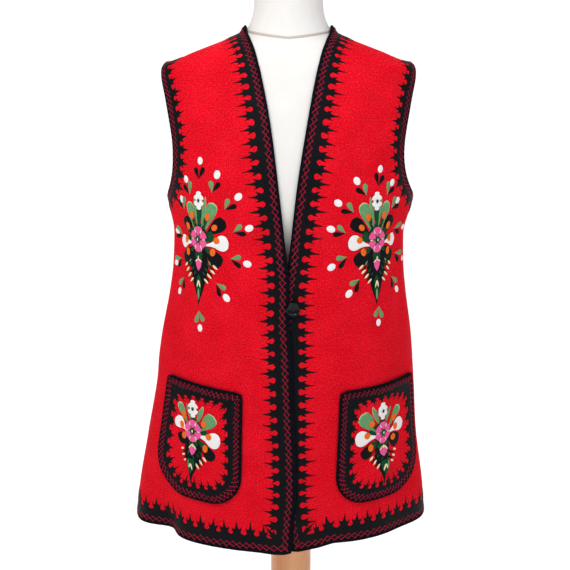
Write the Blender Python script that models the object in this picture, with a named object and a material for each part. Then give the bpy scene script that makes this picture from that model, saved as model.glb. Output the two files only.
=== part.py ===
"""An embroidered folk vest on a dress form: the cut pieces of the cloth, their bindings, the button, and
the form with its wooden stand.

Metres, +Z up. The vest faces -Y. Left and right are those of someone who faces it. The origin is the
middle of the base's underside.

A place on the garment is a pair: turn, the angle round the body (0 at the front, 90 degrees at the right
side, 180 at the back), and the height. The same pair gives a place on the dress form inside.
"""

from math import pi, radians

import bpy
import numpy as np

# Cloth
CLOTH = 0.0025  # one layer of woven wool
SEAM = 0.0003  # the space between two pieces that are sewn together
BINDING_WIDTH = 0.008  # how far a binding reaches past the panel that it edges
BINDING_OUT = 0.0010  # how far it stands proud of the panel outside
BINDING_IN = 0.0002  # and inside
BINDING_ROUND = 0.0012  # the softened outer edge of the folded tape

# Heights
SHOULDER_TOP = 1.384  # the panels' corner beside the neck, on the shoulder seam
UNDERARM = 1.118  # the bottom of the panels' armhole
BACK_NECK = 1.362  # the middle of the back's neck edge

# The armhole, an egg seen from the side
ARMHOLE_REACH = {"front": 0.057, "back": 0.055}  # how far its edges lie from the side line
ARMHOLE_EGG = {"front": 0.024, "back": 0.022}  # how much wider it is low down than at the shoulder
SHOULDER_END = 0.190  # where the shoulder seam ends, from the middle

# The lap: the left front lies over the right one below the neck
LAP_LIFT = 0.0048
LAP_START = (-0.055, -0.020)  # the lift grows from the first X to the second
LAP_TOP = (1.095, 1.050)  # and from the first height to the second

# Button
BUTTON_X = 0.007
BUTTON_HEIGHT = 0.9665
SHANK_RADIUS = 0.002
# From the edge of its back face to the middle of its front: radius and height over the back face
BUTTON_PROFILE = [
    (0.0095, 0.0000),
    (0.0110, 0.0012),
    (0.0110, 0.0026),
    (0.0098, 0.0036),
    (0.0082, 0.0034),
    (0.0068, 0.0022),
    (0.0000, 0.0020),
]

# Pockets, flat sizes without their binding
POCKET_FLARE = 0.020  # how much wider it is at the foot
POCKET_HEIGHT = 0.180
POCKET_INNER_CORNER = 0.045  # radius of the lower corner towards the front edge
POCKET_OUTER_CORNER = 0.063  # radius of the one towards the side
POCKET_LIFT = 0.0008  # from the panel's outside to the pocket's inside

# Stand
BASE_RADIUS = 0.185
BASE_THICKNESS = 0.028
BASE_EDGE = 0.006  # radius of its rounded upper edge
BASE_FOOT = 0.002  # bevel of its lower edge
POST_RADIUS = 0.0345
STAND_X = 0.0045  # where the post stands
FORM_BOTTOM = 0.720
NECK_TOP = 1.478
FORM_FOOT = [(0.000, 0.90), (0.006, 0.97), (0.020, 1.00)]  # height over the bottom and share of its size
NECK_DOME = [(-0.008, 0.99), (-0.002, 0.93), (0.004, 0.72), (0.007, 0.40)]  # the same from the neck's top

# Meshes
FRONT_COLUMNS = 14
BACK_SHOULDER_COLUMNS = 5
BACK_NECK_COLUMNS = 10
NECK_COLUMN_FOOT = 0.085  # how far from the middle the columns below the neck's corners start
NECK_COLUMN_SLANT = 0.55  # and how far they lean out to the shoulder seam before they reach it
LOWER_ROWS = 12
UPPER_ROWS = 19
BEND_ROWS = 0.03  # metres of height that one radian of bend counts for when rows are spaced
POCKET_COLUMNS = 9
POCKET_ROWS = 10
FORM_COLUMNS = 36
ROUND_SIDES = 40
BUTTON_SIDES = 20

# The outside of the cloth, level by level
SECTION_COLUMNS = ("height", "half_width", "front", "back", "power", "middle")
VEST_SECTIONS = [
    (0.535, 0.2485, 0.1450, 0.1520, 1.80, -0.0138),
    (0.6145, 0.2424, 0.1455, 0.1490, 1.85, -0.0122),
    (0.715, 0.2267, 0.1455, 0.1420, 1.95, -0.0100),
    (0.811, 0.2144, 0.1445, 0.1350, 2.00, -0.0044),
    (0.891, 0.2056, 0.1425, 0.1280, 2.05, -0.0022),
    (0.968, 0.1933, 0.1400, 0.1220, 2.10, -0.0008),
    (1.011, 0.1884, 0.1385, 0.1190, 2.10, 0.0000),
    (1.060, 0.1868, 0.1375, 0.1180, 2.10, 0.0007),
    (1.120, 0.1975, 0.1365, 0.1170, 2.10, 0.0030),
    (1.160, 0.1975, 0.1330, 0.1160, 2.10, 0.0010),
    (1.200, 0.1985, 0.1260, 0.1145, 2.10, 0.0000),
    (1.260, 0.2030, 0.1090, 0.1100, 2.05, 0.0000),
    (1.300, 0.2035, 0.0950, 0.1000, 2.00, 0.0000),
    (1.320, 0.2015, 0.0880, 0.0920, 2.00, 0.0000),
    (1.3303, 0.1957, 0.0840, 0.0870, 2.00, 0.0000),
    (1.3360, 0.1785, 0.0815, 0.0840, 2.00, 0.0000),
    (1.3476, 0.1514, 0.0765, 0.0780, 2.00, 0.0000),
    (1.3686, 0.0975, 0.0680, 0.0670, 2.00, 0.0000),
    (1.3784, 0.0768, 0.0640, 0.0625, 2.00, 0.0000),
    (1.3840, 0.0726, 0.0620, 0.0605, 2.00, 0.0000),
    (1.3900, 0.0685, 0.0605, 0.0590, 2.00, 0.0000),
    (1.4000, 0.0655, 0.0590, 0.0575, 2.00, 0.0000),
    (1.4200, 0.0640, 0.0580, 0.0565, 2.00, 0.0000),
]

# The dress form, and the heights of its rings: closer over the shoulders
FORM_LEVELS = [*np.linspace(0.77, 1.25, 13), 1.275, 1.295, 1.308, 1.317, 1.324, 1.331, 1.338]
FORM_LEVELS += [1.345, 1.352, 1.360, 1.369, 1.378, 1.388, 1.400, 1.418, 1.445]
FORM_SECTIONS = [
    (0.700, 0.1660, 0.1120, 0.1130, 2.15, 0.0000),
    (0.780, 0.1640, 0.1120, 0.1150, 2.15, 0.0000),
    (0.860, 0.1500, 0.1060, 0.1060, 2.15, 0.0000),
    (0.930, 0.1360, 0.1010, 0.0930, 2.15, 0.0000),
    (1.000, 0.1420, 0.1060, 0.0920, 2.15, 0.0000),
    (1.070, 0.1580, 0.1230, 0.1000, 2.10, 0.0000),
    (1.120, 0.1670, 0.1305, 0.1060, 2.10, 0.0000),
    (1.160, 0.1710, 0.1280, 0.1085, 2.10, 0.0000),
    (1.200, 0.1740, 0.1210, 0.1075, 2.10, 0.0000),
    (1.260, 0.1780, 0.1040, 0.1035, 2.05, 0.0000),
    (1.295, 0.1780, 0.0920, 0.0960, 2.00, 0.0000),
    (1.316, 0.1760, 0.0850, 0.0880, 2.00, 0.0000),
    (1.3330, 0.1690, 0.0790, 0.0810, 2.00, 0.0000),
    (1.3447, 0.1480, 0.0740, 0.0750, 2.00, 0.0000),
    (1.3628, 0.0980, 0.0640, 0.0635, 2.00, 0.0000),
    (1.3720, 0.0740, 0.0575, 0.0565, 2.00, 0.0000),
    (1.3850, 0.0645, 0.0545, 0.0535, 2.00, 0.0000),
    (1.3950, 0.0600, 0.0530, 0.0520, 2.00, 0.0000),
    (1.4060, 0.0562, 0.0525, 0.0515, 2.00, 0.0000),
    (1.4200, 0.0542, 0.0520, 0.0510, 2.00, 0.0000),
    (1.4780, 0.0535, 0.0520, 0.0505, 2.00, 0.0000),
]

# The fronts' inner edges, where the binding begins: height and x
LEFT_FRONT_EDGE = [
    (0.540, -0.0020),
    (0.600, 0.0010),
    (0.660, 0.0060),
    (0.720, 0.0050),
    (0.800, 0.0010),
    (0.890, -0.0020),
    (0.965, -0.0065),
    (1.010, -0.0065),
    (1.045, -0.0110),
    (1.080, -0.0150),
    (1.150, -0.0230),
    (1.240, -0.0345),
    (1.320, -0.0500),
    (1.355, -0.0595),
    (1.372, -0.0672),
    (1.384, -0.0726),
]
RIGHT_FRONT_EDGE = [
    (0.540, 0.0150),
    (0.600, 0.0050),
    (0.660, 0.0010),
    (0.965, 0.0015),
    (1.010, 0.0040),
    (1.045, 0.0080),
    (1.080, 0.0120),
    (1.150, 0.0200),
    (1.240, 0.0345),
    (1.320, 0.0500),
    (1.355, 0.0595),
    (1.372, 0.0672),
    (1.384, 0.0726),
]

# The hem, where the binding begins: distance from the middle and height
HEM_REACH = (0.004, 0.245)  # the distances at the front edge and at the side seam
LEFT_HEM = [(0.000, 0.563), (0.100, 0.568), (0.160, 0.573), (0.200, 0.575), (0.260, 0.576)]
RIGHT_HEM = [(0.000, 0.564), (0.030, 0.566), (0.055, 0.573), (0.100, 0.575), (0.200, 0.576), (0.260, 0.576)]
BACK_HEM_MIDDLE = 0.570

# The largest folds: turn and half width in degrees, depth (troughs are negative), and the heights at
# which the fold begins and reaches its depth
FOLDS = [
    (-58.0, 7.0, -0.0240, 0.690, 0.560),
    (-70.0, 8.0, 0.0050, 1.020, 0.800),
    (17.0, 7.0, -0.0100, 0.680, 0.560),
    (60.0, 9.0, -0.0060, 0.980, 0.700),
    (118.0, 9.0, 0.0090, 1.000, 0.600),
    (141.0, 10.0, -0.0100, 0.960, 0.600),
    (176.0, 13.0, 0.0090, 1.020, 0.600),
    (212.0, 10.0, -0.0110, 0.980, 0.600),
    (238.0, 9.0, 0.0080, 0.940, 0.600),
]

# Each pocket: its top corner nearest the front edge (x, height), how many degrees it is turned up at the
# side, and its width there
POCKETS = {"left": (-0.0794, 0.8205, 4.7, 0.128), "right": (0.0872, 0.8212, 1.4, 0.144)}

POST_BOTTOM = BASE_THICKNESS + SEAM
POST_TOP = FORM_BOTTOM - SEAM
SIDES = {"left": -1, "right": 1}
FRONT_EDGES = {"left": LEFT_FRONT_EDGE, "right": RIGHT_FRONT_EDGE}
HEMS = {"left": LEFT_HEM, "right": RIGHT_HEM}


# ---- Curves and surfaces ----


def smooth(x, table, column):
    """The table's column read at x along its first column, on a smooth curve with no overshoot."""
    xs = np.array([row[0] for row in table])
    ys = np.array([row[column] for row in table])
    step = np.diff(ys) / np.diff(xs)
    before, after = step[:-1], step[1:]
    same_way = before * after > 0
    total = np.where(same_way, before + after, 1.0)
    inner = np.where(same_way, 2 * before * after / total, 0.0)
    slope = np.concatenate([step[:1], inner, step[-1:]])
    x = np.clip(x, xs[0], xs[-1])
    i = np.clip(np.searchsorted(xs, x) - 1, 0, len(xs) - 2)
    width = xs[i + 1] - xs[i]
    s = (x - xs[i]) / width
    start = ys[i] * (1 + 2 * s) * (1 - s) ** 2 + slope[i] * width * s * (1 - s) ** 2
    end = ys[i + 1] * s**2 * (3 - 2 * s) + slope[i + 1] * width * s**2 * (s - 1)
    return start + end


def ease(x, start, end):
    """0 at start, 1 at end and beyond, with soft ends."""
    s = np.clip((x - start) / (end - start), 0, 1)
    return s * s * (3 - 2 * s)


def section(height, sections):
    """Half width, front depth, back depth, power and middle at a height."""
    return [smooth(height, sections, column) for column in range(1, len(SECTION_COLUMNS))]


def around(turn, height, sections):
    """The point of a rounded section at a turn and height."""
    half_width, front, back, power, middle = section(height, sections)
    s, c = np.sin(turn), np.cos(turn)
    size = (np.abs(s) ** power + np.abs(c) ** power) ** (-1 / power)
    depth = np.where(c > 0, front, back)
    return np.stack([middle + size * half_width * s, -size * depth * c, height + 0 * turn], axis=-1)


def folds(turn, height):
    """How far the folds push the cloth out at a turn and height."""
    push = 0
    for at, half_width, depth, top, full in FOLDS:
        away = (turn - radians(at) + pi) % (2 * pi) - pi
        push = push + depth * np.exp(-0.5 * (away / radians(half_width)) ** 2) * ease(height, top, full)
    return push


def vest(turn, height):
    """The outside of the cloth."""
    turn, height = np.broadcast_arrays(np.asarray(turn, float), np.asarray(height, float))
    point = around(turn, height, VEST_SECTIONS)
    outward = np.stack([np.sin(turn), -np.cos(turn), 0 * turn], axis=-1)
    return point + outward * folds(turn, height)[..., None]


def lapped(turn, height):
    """The outside of the left front, which rises over the right one below the neck."""
    point = vest(turn, height)
    lift = LAP_LIFT * ease(point[..., 0], *LAP_START) * ease(point[..., 2], *LAP_TOP)
    point[..., 1] -= lift
    return point


SURFACES = {"left": lapped, "right": vest}


def form(turn, height):
    """The outside of the dress form."""
    turn, height = np.broadcast_arrays(np.asarray(turn, float), np.asarray(height, float))
    return around(turn, height, FORM_SECTIONS)


def slopes(surface, turn, height):
    """How the surface moves for each radian of turn and each metre of height."""
    step = 1e-4
    across = (surface(turn + step, height) - surface(turn - step, height)) / (2 * step)
    up = (surface(turn, height + step) - surface(turn, height - step)) / (2 * step)
    return across, up


def normal(surface, turn, height):
    """The outward direction."""
    across, up = slopes(surface, turn, height)
    out = np.cross(across, up)
    return out / np.linalg.norm(out, axis=-1, keepdims=True)


def turn_at_x(x, height):
    """The turn of the vest's front at a distance from the middle."""
    half_width, _, _, power, middle = section(height, VEST_SECTIONS)
    s = np.clip(np.abs(x - middle) / half_width, 0, 1)
    return np.sign(x - middle) * np.arctan2(s, (1 - s**power) ** (1 / power))


def turn_at_depth(depth, height, face):
    """The angle between the side line and the place that lies depth in front of it, or behind it."""
    sizes = section(height, VEST_SECTIONS)
    power = sizes[3]
    c = np.clip(depth / sizes[1 if face == "front" else 2], 0, 1)
    return pi / 2 - np.arctan2((1 - c**power) ** (1 / power), c)


def mix(a, b, share):
    return a + (b - a) * share


# ---- The cut of the panels, as grids of turn and height ----


def shoulder_end_height():
    """The height of the shoulder seam's outer end."""
    heights = np.linspace(1.30, SHOULDER_TOP, 400)
    return np.interp(-SHOULDER_END, -section(heights, VEST_SECTIONS)[0], heights)


def armhole_angle(height, face):
    """How far the armhole's edge lies from the side line, as an angle round the body."""
    half_height = (shoulder_end_height() - UNDERARM) / 2
    along = np.clip((height - UNDERARM) / half_height - 1, -1, 1)
    reach = (ARMHOLE_REACH[face] - ARMHOLE_EGG[face] * along) * np.sqrt(1 - along**2)
    return turn_at_depth(reach, height, face)


def seam_angle(height):
    """Half of the space at a seam, as an angle round the body."""
    sizes = section(height, VEST_SECTIONS)
    return SEAM / 2 / ((sizes[1] + sizes[2]) / 2)


def even_rows(place, count):
    """The shares of the way up, from 0 to 1, that space a panel's rows: closer where the cloth bends."""
    share = np.linspace(0, 1, 600)
    travel = np.zeros_like(share)
    for across in (0.0, 0.3, 0.5, 0.7, 1.0):
        turns, heights = place(np.array([across]), share[:, None])
        steps = np.diff(vest(turns, heights)[:, 0], axis=0)
        bends = np.diff(normal(vest, turns, heights)[:, 0], axis=0)
        travel[1:] += np.cumsum(np.linalg.norm(steps, axis=1) + BEND_ROWS * np.linalg.norm(bends, axis=1))
    return np.interp(np.linspace(0, travel[-1], count + 1), travel, share)


def front_lower(side, hem, edge):
    """Where a front lies below the underarm: a function of the shares across and up."""

    def place(across, up):
        height = mix(smooth(mix(*HEM_REACH, across), hem, 1), UNDERARM, up)
        start = turn_at_x(smooth(height, edge, 1), height)
        end = side * (pi / 2 - seam_angle(height))
        return mix(start, end, across), height

    return place


def front_upper(side, edge):
    """Where a front lies above the underarm."""

    def place(across, up):
        neck_height = mix(UNDERARM, SHOULDER_TOP, up)
        arm_height = mix(UNDERARM, shoulder_end_height(), up)
        start = turn_at_x(smooth(neck_height, edge, 1), neck_height)
        limit = pi / 2 - seam_angle(neck_height)
        start = np.clip(start, -limit, limit)
        end = side * (pi / 2 - np.maximum(armhole_angle(arm_height, "front"), seam_angle(arm_height)))
        return mix(start, end, across), mix(neck_height, arm_height, across)

    return place


def front_grid(side, hem, edge):
    """The turns and heights of a front's points: rows from the hem up, columns from the front edge."""
    across = np.linspace(0, 1, FRONT_COLUMNS + 1)[None, :]
    lower, upper = front_lower(side, hem, edge), front_upper(side, edge)
    below = lower(across, np.linspace(0, 1, LOWER_ROWS + 1)[:, None])
    above = upper(across, even_rows(upper, UPPER_ROWS)[1:, None])
    return [np.concatenate([a, b]) for a, b in zip(below, above)]


def back_upper(across, up):
    """Where the back lies above the underarm, from its right armhole to its left one."""
    half = np.minimum(across, 1 - across) * 2
    shoulder_share = BACK_SHOULDER_COLUMNS / (BACK_SHOULDER_COLUMNS + BACK_NECK_COLUMNS / 2)
    neck_height = mix(UNDERARM, SHOULDER_TOP, up)
    arm_height = mix(UNDERARM, shoulder_end_height(), up)
    edge_x = RIGHT_FRONT_EDGE[-1][1]
    to_ridge = NECK_COLUMN_SLANT * ease(up, 0.86, 1.0)
    neck_x = mix(mix(NECK_COLUMN_FOOT, edge_x, up), section(neck_height, VEST_SECTIONS)[0], to_ridge)
    seam = seam_angle(neck_height)
    arm = pi / 2 + np.maximum(armhole_angle(arm_height, "back"), seam_angle(arm_height))
    neck = pi - np.clip(turn_at_x(neck_x, neck_height), 0, pi / 2 - seam)
    by_shoulder = np.clip(half / shoulder_share, 0, 1)
    by_neck = np.clip((half - shoulder_share) / (1 - shoulder_share), 0, 1)
    turn = np.where(half < shoulder_share, mix(arm, neck, by_shoulder), mix(neck, pi, by_neck))
    drop = (SHOULDER_TOP - BACK_NECK) * np.sin(by_neck * pi / 2) ** 1.5 * up**4
    height = mix(arm_height, neck_height, by_shoulder) - drop
    return np.where(across > 0.5, 2 * pi - turn, turn), height


def back_grid():
    """The turns and heights of the back's points: rows from the hem up, columns from the right side."""
    count = 2 * BACK_SHOULDER_COLUMNS + BACK_NECK_COLUMNS
    across = np.linspace(0, 1, count + 1)[None, :]
    start_turn, _ = back_upper(across, np.array([[0.0]]))
    rows = np.linspace(0, 1, LOWER_ROWS + 1)[:, None]
    hem = mix(BACK_HEM_MIDDLE, LEFT_HEM[-1][1], np.abs(1 - 2 * across) ** 2)
    below_height = mix(hem, UNDERARM, rows)
    side_turn = mix(pi / 2 + seam_angle(below_height), 3 * pi / 2 - seam_angle(below_height), across)
    below_turn = mix(side_turn, start_turn, ease(rows, 0.3, 1.0))
    above_turn, above_height = back_upper(across, even_rows(back_upper, UPPER_ROWS)[1:, None])
    return np.concatenate([below_turn, above_turn]), np.concatenate([below_height, above_height])


def corner_loss(up, radius):
    """How much a round lower corner takes off the width at each height over the foot."""
    below = radius - np.clip(up, 0, radius)
    return radius - np.sqrt(radius**2 - below**2)


def pocket_grid(side):
    """The turns and heights of a pocket's points: rows from its foot up, columns from the inside out."""
    corner_x, top, turned, width = POCKETS[side]
    lean = radians(turned)
    curve = np.linspace(0, pi / 2, POCKET_ROWS // 2 + 1)
    rounded = POCKET_OUTER_CORNER * (1 - np.cos(curve))
    straight = np.linspace(POCKET_OUTER_CORNER, POCKET_HEIGHT, POCKET_ROWS - POCKET_ROWS // 2 + 1)
    sweep = np.linspace(0, pi / 2, 400)
    turns, heights = [], []
    for up in np.concatenate([rounded, straight[1:]]):
        flare = POCKET_FLARE / 2 * (1 - up / POCKET_HEIGHT)
        start = corner_loss(up, POCKET_INNER_CORNER) - flare
        end = width + flare - corner_loss(up, POCKET_OUTER_CORNER)
        across, down = np.linspace(start, end, POCKET_COLUMNS + 1), POCKET_HEIGHT - up
        height = top - down * np.cos(lean) + across * np.sin(lean)
        out = across * np.cos(lean) + down * np.sin(lean)
        for h, reach in zip(height, out):
            points = vest(SIDES[side] * sweep, np.full_like(sweep, h))
            girth = np.concatenate([[0], np.cumsum(np.linalg.norm(np.diff(points, axis=0), axis=1))])
            inner = np.interp(abs(corner_x), np.abs(points[:, 0]), girth)
            turns.append(SIDES[side] * np.interp(inner + reach, girth, sweep))
            heights.append(h)
    shape = (POCKET_ROWS + 1, POCKET_COLUMNS + 1)
    return np.reshape(turns, shape), np.reshape(heights, shape)


# ---- Meshes ----


def add_object(name, points, faces, material):
    """A new object from points and faces."""
    mesh = bpy.data.meshes.new(name)
    mesh.from_pydata([tuple(p) for p in np.asarray(points, float)], [], [tuple(f) for f in faces])
    mesh.materials.append(material)
    mesh.shade_smooth()
    mesh.set_sharp_from_angle(angle=radians(50))
    obj = bpy.data.objects.new(name, mesh)
    bpy.context.scene.collection.objects.link(obj)
    return obj


def turn_outwards(points, faces):
    """The faces, all reversed if they enclose their body from the wrong side."""
    triangles = [(face[0], face[k], face[k + 1]) for face in faces for k in range(1, len(face) - 1)]
    corners = np.asarray(points)[triangles]
    volume = np.einsum("ij,ij->i", corners[:, 0], np.cross(corners[:, 1], corners[:, 2])).sum()
    return faces if volume > 0 else [f[::-1] for f in faces]


def creased(points, corners, away):
    """A four-cornered face as two triangles, creased so that its middle lies towards away."""
    a, b, c, d = corners
    if (points[a] + points[c] - points[b] - points[d]) @ away > 0:
        return [(a, b, c), (a, c, d)]
    return [(a, b, d), (b, c, d)]


def slab(name, surface, turns, heights, material, lift=0.0):
    """A wall of cloth over a grid of places: its outside lies lift off the surface."""
    if turns[0, 0] > turns[0, -1]:  # columns go one way round the body, so that the rim does too
        turns, heights = turns[:, ::-1], heights[:, ::-1]
    rows, columns = turns.shape
    outside, out = surface(turns, heights), normal(surface, turns, heights)
    outer = (outside + out * lift).reshape(-1, 3)
    inner = (outside + out * (lift - CLOTH)).reshape(-1, 3)
    points = np.concatenate([outer, inner])
    under = rows * columns
    faces = []
    for r in range(rows - 1):
        for c in range(columns - 1):
            a = r * columns + c
            b, d = a + 1, a + columns
            e = d + 1
            short = np.linalg.norm(outer[a] - outer[e]) < np.linalg.norm(outer[b] - outer[d])
            for x, y, z in ((a, b, e), (a, e, d)) if short else ((a, b, d), (b, e, d)):
                faces += [(x, y, z), (under + z, under + y, under + x)]
    rim = list(range(columns))
    rim += [r * columns + columns - 1 for r in range(1, rows)]
    rim += [(rows - 1) * columns + c for c in range(columns - 2, -1, -1)]
    rim += [r * columns for r in range(rows - 2, 0, -1)]
    out = out.reshape(-1, 3)
    for a, b in zip(rim, rim[1:] + rim[:1]):
        inward = np.cross(out[a] + out[b], outer[b] - outer[a])
        faces += creased(points, (b, a, under + a, under + b), inward)
    return add_object(name, points, turn_outwards(points, faces), material)


def binding(name, surface, path, material, lift=0.0, closed=False, ends=(False, False)):
    """A folded tape along a panel's edge. The path holds (turn, height) pairs with the panel on its left,
    seen from outside. ends says which ends lie on a seam, where the tape keeps to the seam's line."""
    turns, heights = np.array(path).T
    edge = surface(turns, heights)
    out = normal(surface, turns, heights)
    if closed:
        along = np.roll(edge, -1, axis=0) - np.roll(edge, 1, axis=0)
    else:
        along = np.gradient(edge, axis=0)
    along /= np.linalg.norm(along, axis=1, keepdims=True)
    aside = np.cross(along, out)
    across, up = slopes(surface, turns, heights)
    rings = []
    tape = [
        (SEAM, BINDING_OUT),
        (BINDING_WIDTH - BINDING_ROUND, BINDING_OUT),
        (BINDING_WIDTH, BINDING_OUT - BINDING_ROUND),
        (BINDING_WIDTH, BINDING_ROUND - CLOTH - BINDING_IN),
        (BINDING_WIDTH - BINDING_ROUND, -CLOTH - BINDING_IN),
        (SEAM, -CLOTH - BINDING_IN),
    ]
    for reach, rise in tape:
        shift_turn, shift_height = [], []
        for k in range(len(turns)):
            move, *_ = np.linalg.lstsq(np.stack([across[k], up[k]], axis=1), aside[k] * reach, rcond=None)
            on_seam = not closed and ((k == 0 and ends[0]) or (k == len(turns) - 1 and ends[1]))
            if on_seam:
                move = np.array([0.0, np.sign(move[1]) * reach / np.linalg.norm(up[k])])
            shift_turn.append(move[0])
            shift_height.append(move[1])
        at_turn, at_height = turns + shift_turn, heights + shift_height
        rings.append(surface(at_turn, at_height) + normal(surface, at_turn, at_height) * (lift + rise))
    count, sides = len(turns), len(tape)
    points = np.stack(rings, axis=1).reshape(-1, 3)
    faces = []
    for k in range(count if closed else count - 1):
        here, there = k * sides, (k + 1) % count * sides
        for s in range(sides):
            n = (s + 1) % sides
            faces += creased(points, (here + s, here + n, there + n, there + s), aside[k])
    if not closed:
        faces.append(tuple(range(sides))[::-1])
        faces.append(tuple((count - 1) * sides + s for s in range(sides)))
    return add_object(name, points, turn_outwards(points, faces), material)


def lathe(name, profile, sides, material, place=None):
    """A turned piece from (radius, height) pairs, with a point at each end whose radius is 0."""
    points, rings = [], []
    for radius, height in profile:
        if radius == 0:
            rings.append([len(points)])
            points.append((0, 0, height))
            continue
        rings.append(list(range(len(points), len(points) + sides)))
        angles = np.arange(sides) * 2 * pi / sides
        points += [(radius * np.cos(a), radius * np.sin(a), height) for a in angles]
    faces = []
    for low, high in zip(rings, rings[1:]):
        for k in range(sides):
            n = (k + 1) % sides
            if len(low) == 1:
                faces.append((low[0], high[n], high[k]))
            elif len(high) == 1:
                faces.append((low[k], low[n], high[0]))
            else:
                faces.append((low[k], low[n], high[n], high[k]))
    points = np.array(points)
    if place is not None:
        centre, axes = place
        points = centre + points @ axes
    return add_object(name, points, turn_outwards(points, faces), material)


def material(name, colour, roughness, metallic=0.0):
    """A plain material in a linear colour."""
    made = bpy.data.materials.new(name)
    made.use_nodes = True
    shader = made.node_tree.nodes["Principled BSDF"]
    shader.inputs["Base Color"].default_value = (*colour, 1.0)
    shader.inputs["Roughness"].default_value = roughness
    shader.inputs["Metallic"].default_value = metallic
    return made


# ---- The pieces ----


def make_fronts(wool, tape):
    """Both fronts, each with the tape along its neck, front edge and hem."""
    for name, side in SIDES.items():
        surface = SURFACES[name]
        turns, heights = front_grid(side, HEMS[name], FRONT_EDGES[name])
        slab(f"front_{name}", surface, turns, heights, wool)
        path = [(turns[r, 0], heights[r, 0]) for r in range(len(turns) - 1, 0, -1)]
        path += [(turns[0, c], heights[0, c]) for c in range(turns.shape[1])]
        if name == "left":
            path = path[::-1]
        binding(f"binding_front_{name}", surface, path, tape, ends=(True, True))


def make_back(wool, tape):
    """The back, with the tape along its hem and its neck."""
    turns, heights = back_grid()
    slab("back", vest, turns, heights, wool)
    hem = list(zip(turns[0], heights[0]))
    binding("binding_back_hem", vest, hem, tape, ends=(True, True))
    first, last = BACK_SHOULDER_COLUMNS, BACK_SHOULDER_COLUMNS + BACK_NECK_COLUMNS
    neck = list(zip(turns[-1, first : last + 1], heights[-1, first : last + 1]))[::-1]
    binding("binding_back_neck", vest, neck, tape, ends=(True, True))


def make_armhole_binding(name, tape):
    """The tape round an armhole, from the underarm up the front and down the back."""
    side = SIDES[name]
    front = even_rows(front_upper(side, FRONT_EDGES[name]), UPPER_ROWS)
    back = even_rows(back_upper, UPPER_ROWS)
    top = shoulder_end_height()
    path = []
    for share in front:
        height = mix(UNDERARM, top, share)
        path.append((side * (pi / 2 - float(armhole_angle(height, "front"))), height))
    for share in back[-2:0:-1]:
        height = mix(UNDERARM, top, share)
        path.append((side * (pi / 2 + float(armhole_angle(height, "back"))), height))
    if name == "left":
        path = path[::-1]
    binding(f"binding_armhole_{name}", vest, path, tape, closed=True)


def make_pocket(name, wool, tape):
    """A patch pocket and the tape round it."""
    surface = SURFACES[name]
    turns, heights = pocket_grid(name)
    lift = POCKET_LIFT + CLOTH
    slab(f"pocket_{name}", surface, turns, heights, wool, lift=lift)
    rows, columns = turns.shape
    path = [(0, c) for c in range(columns)]
    path += [(r, columns - 1) for r in range(1, rows)]
    path += [(rows - 1, c) for c in range(columns - 2, -1, -1)]
    path += [(r, 0) for r in range(rows - 2, 0, -1)]
    path = [(turns[place], heights[place]) for place in path]
    if name == "left":
        path = path[::-1]
    binding(f"binding_pocket_{name}", surface, path, tape, lift=lift, closed=True)


def make_button(plastic):
    """The button, over the lap, with its shank down to the right front."""
    turn, height = turn_at_x(BUTTON_X, BUTTON_HEIGHT), BUTTON_HEIGHT
    foot = vest(turn, height)
    out = normal(vest, turn, height)
    right = np.cross([0, 0, 1], out)
    right /= np.linalg.norm(right)
    axes = np.array([right, np.cross(out, right), out])
    back_face = LAP_LIFT + BINDING_OUT + 2 * SEAM
    profile = [(0, 2 * SEAM), (SHANK_RADIUS, 2 * SEAM), (SHANK_RADIUS, back_face)]
    profile += [(radius, back_face + height) for radius, height in BUTTON_PROFILE]
    lathe("button", profile, BUTTON_SIDES, plastic, place=(foot, axes))


def make_form(jersey):
    """The dress form: level rings from its rounded foot to its domed neck."""
    levels = [(FORM_BOTTOM + up, size) for up, size in FORM_FOOT]
    levels += [(height, 1.0) for height in FORM_LEVELS]
    levels += [(NECK_TOP + up, size) for up, size in NECK_DOME]
    turns = np.arange(FORM_COLUMNS) * 2 * pi / FORM_COLUMNS
    points, faces = [], []
    for height, size in levels:
        ring = form(turns, np.full(FORM_COLUMNS, height))
        points += [(x * size, y * size, z) for x, y, z in ring]
    for level in range(len(levels) - 1):
        for k in range(FORM_COLUMNS):
            n = (k + 1) % FORM_COLUMNS
            a, b = level * FORM_COLUMNS + k, level * FORM_COLUMNS + n
            faces.append((a, b, b + FORM_COLUMNS, a + FORM_COLUMNS))
    faces.append(tuple(range(FORM_COLUMNS))[::-1])
    faces.append(tuple((len(levels) - 1) * FORM_COLUMNS + k for k in range(FORM_COLUMNS)))
    add_object("form_torso", points, turn_outwards(points, faces), jersey)


def make_stand(wood):
    """The round post and base."""
    post = [(0, POST_BOTTOM), (POST_RADIUS, POST_BOTTOM), (POST_RADIUS, POST_TOP), (0, POST_TOP)]
    place = (np.array([STAND_X, 0, 0]), np.eye(3))
    lathe("post", post, ROUND_SIDES, wood, place)
    base = [(0, 0), (BASE_RADIUS - BASE_FOOT, 0), (BASE_RADIUS, BASE_FOOT)]
    for angle in np.radians([0, 45, 90]):
        rounded = BASE_EDGE * (1 - np.cos(angle)), BASE_EDGE * (1 - np.sin(angle))
        base.append((BASE_RADIUS - rounded[0], BASE_THICKNESS - rounded[1]))
    base.append((0, BASE_THICKNESS))
    lathe("base", base, ROUND_SIDES, wood, place)


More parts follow.
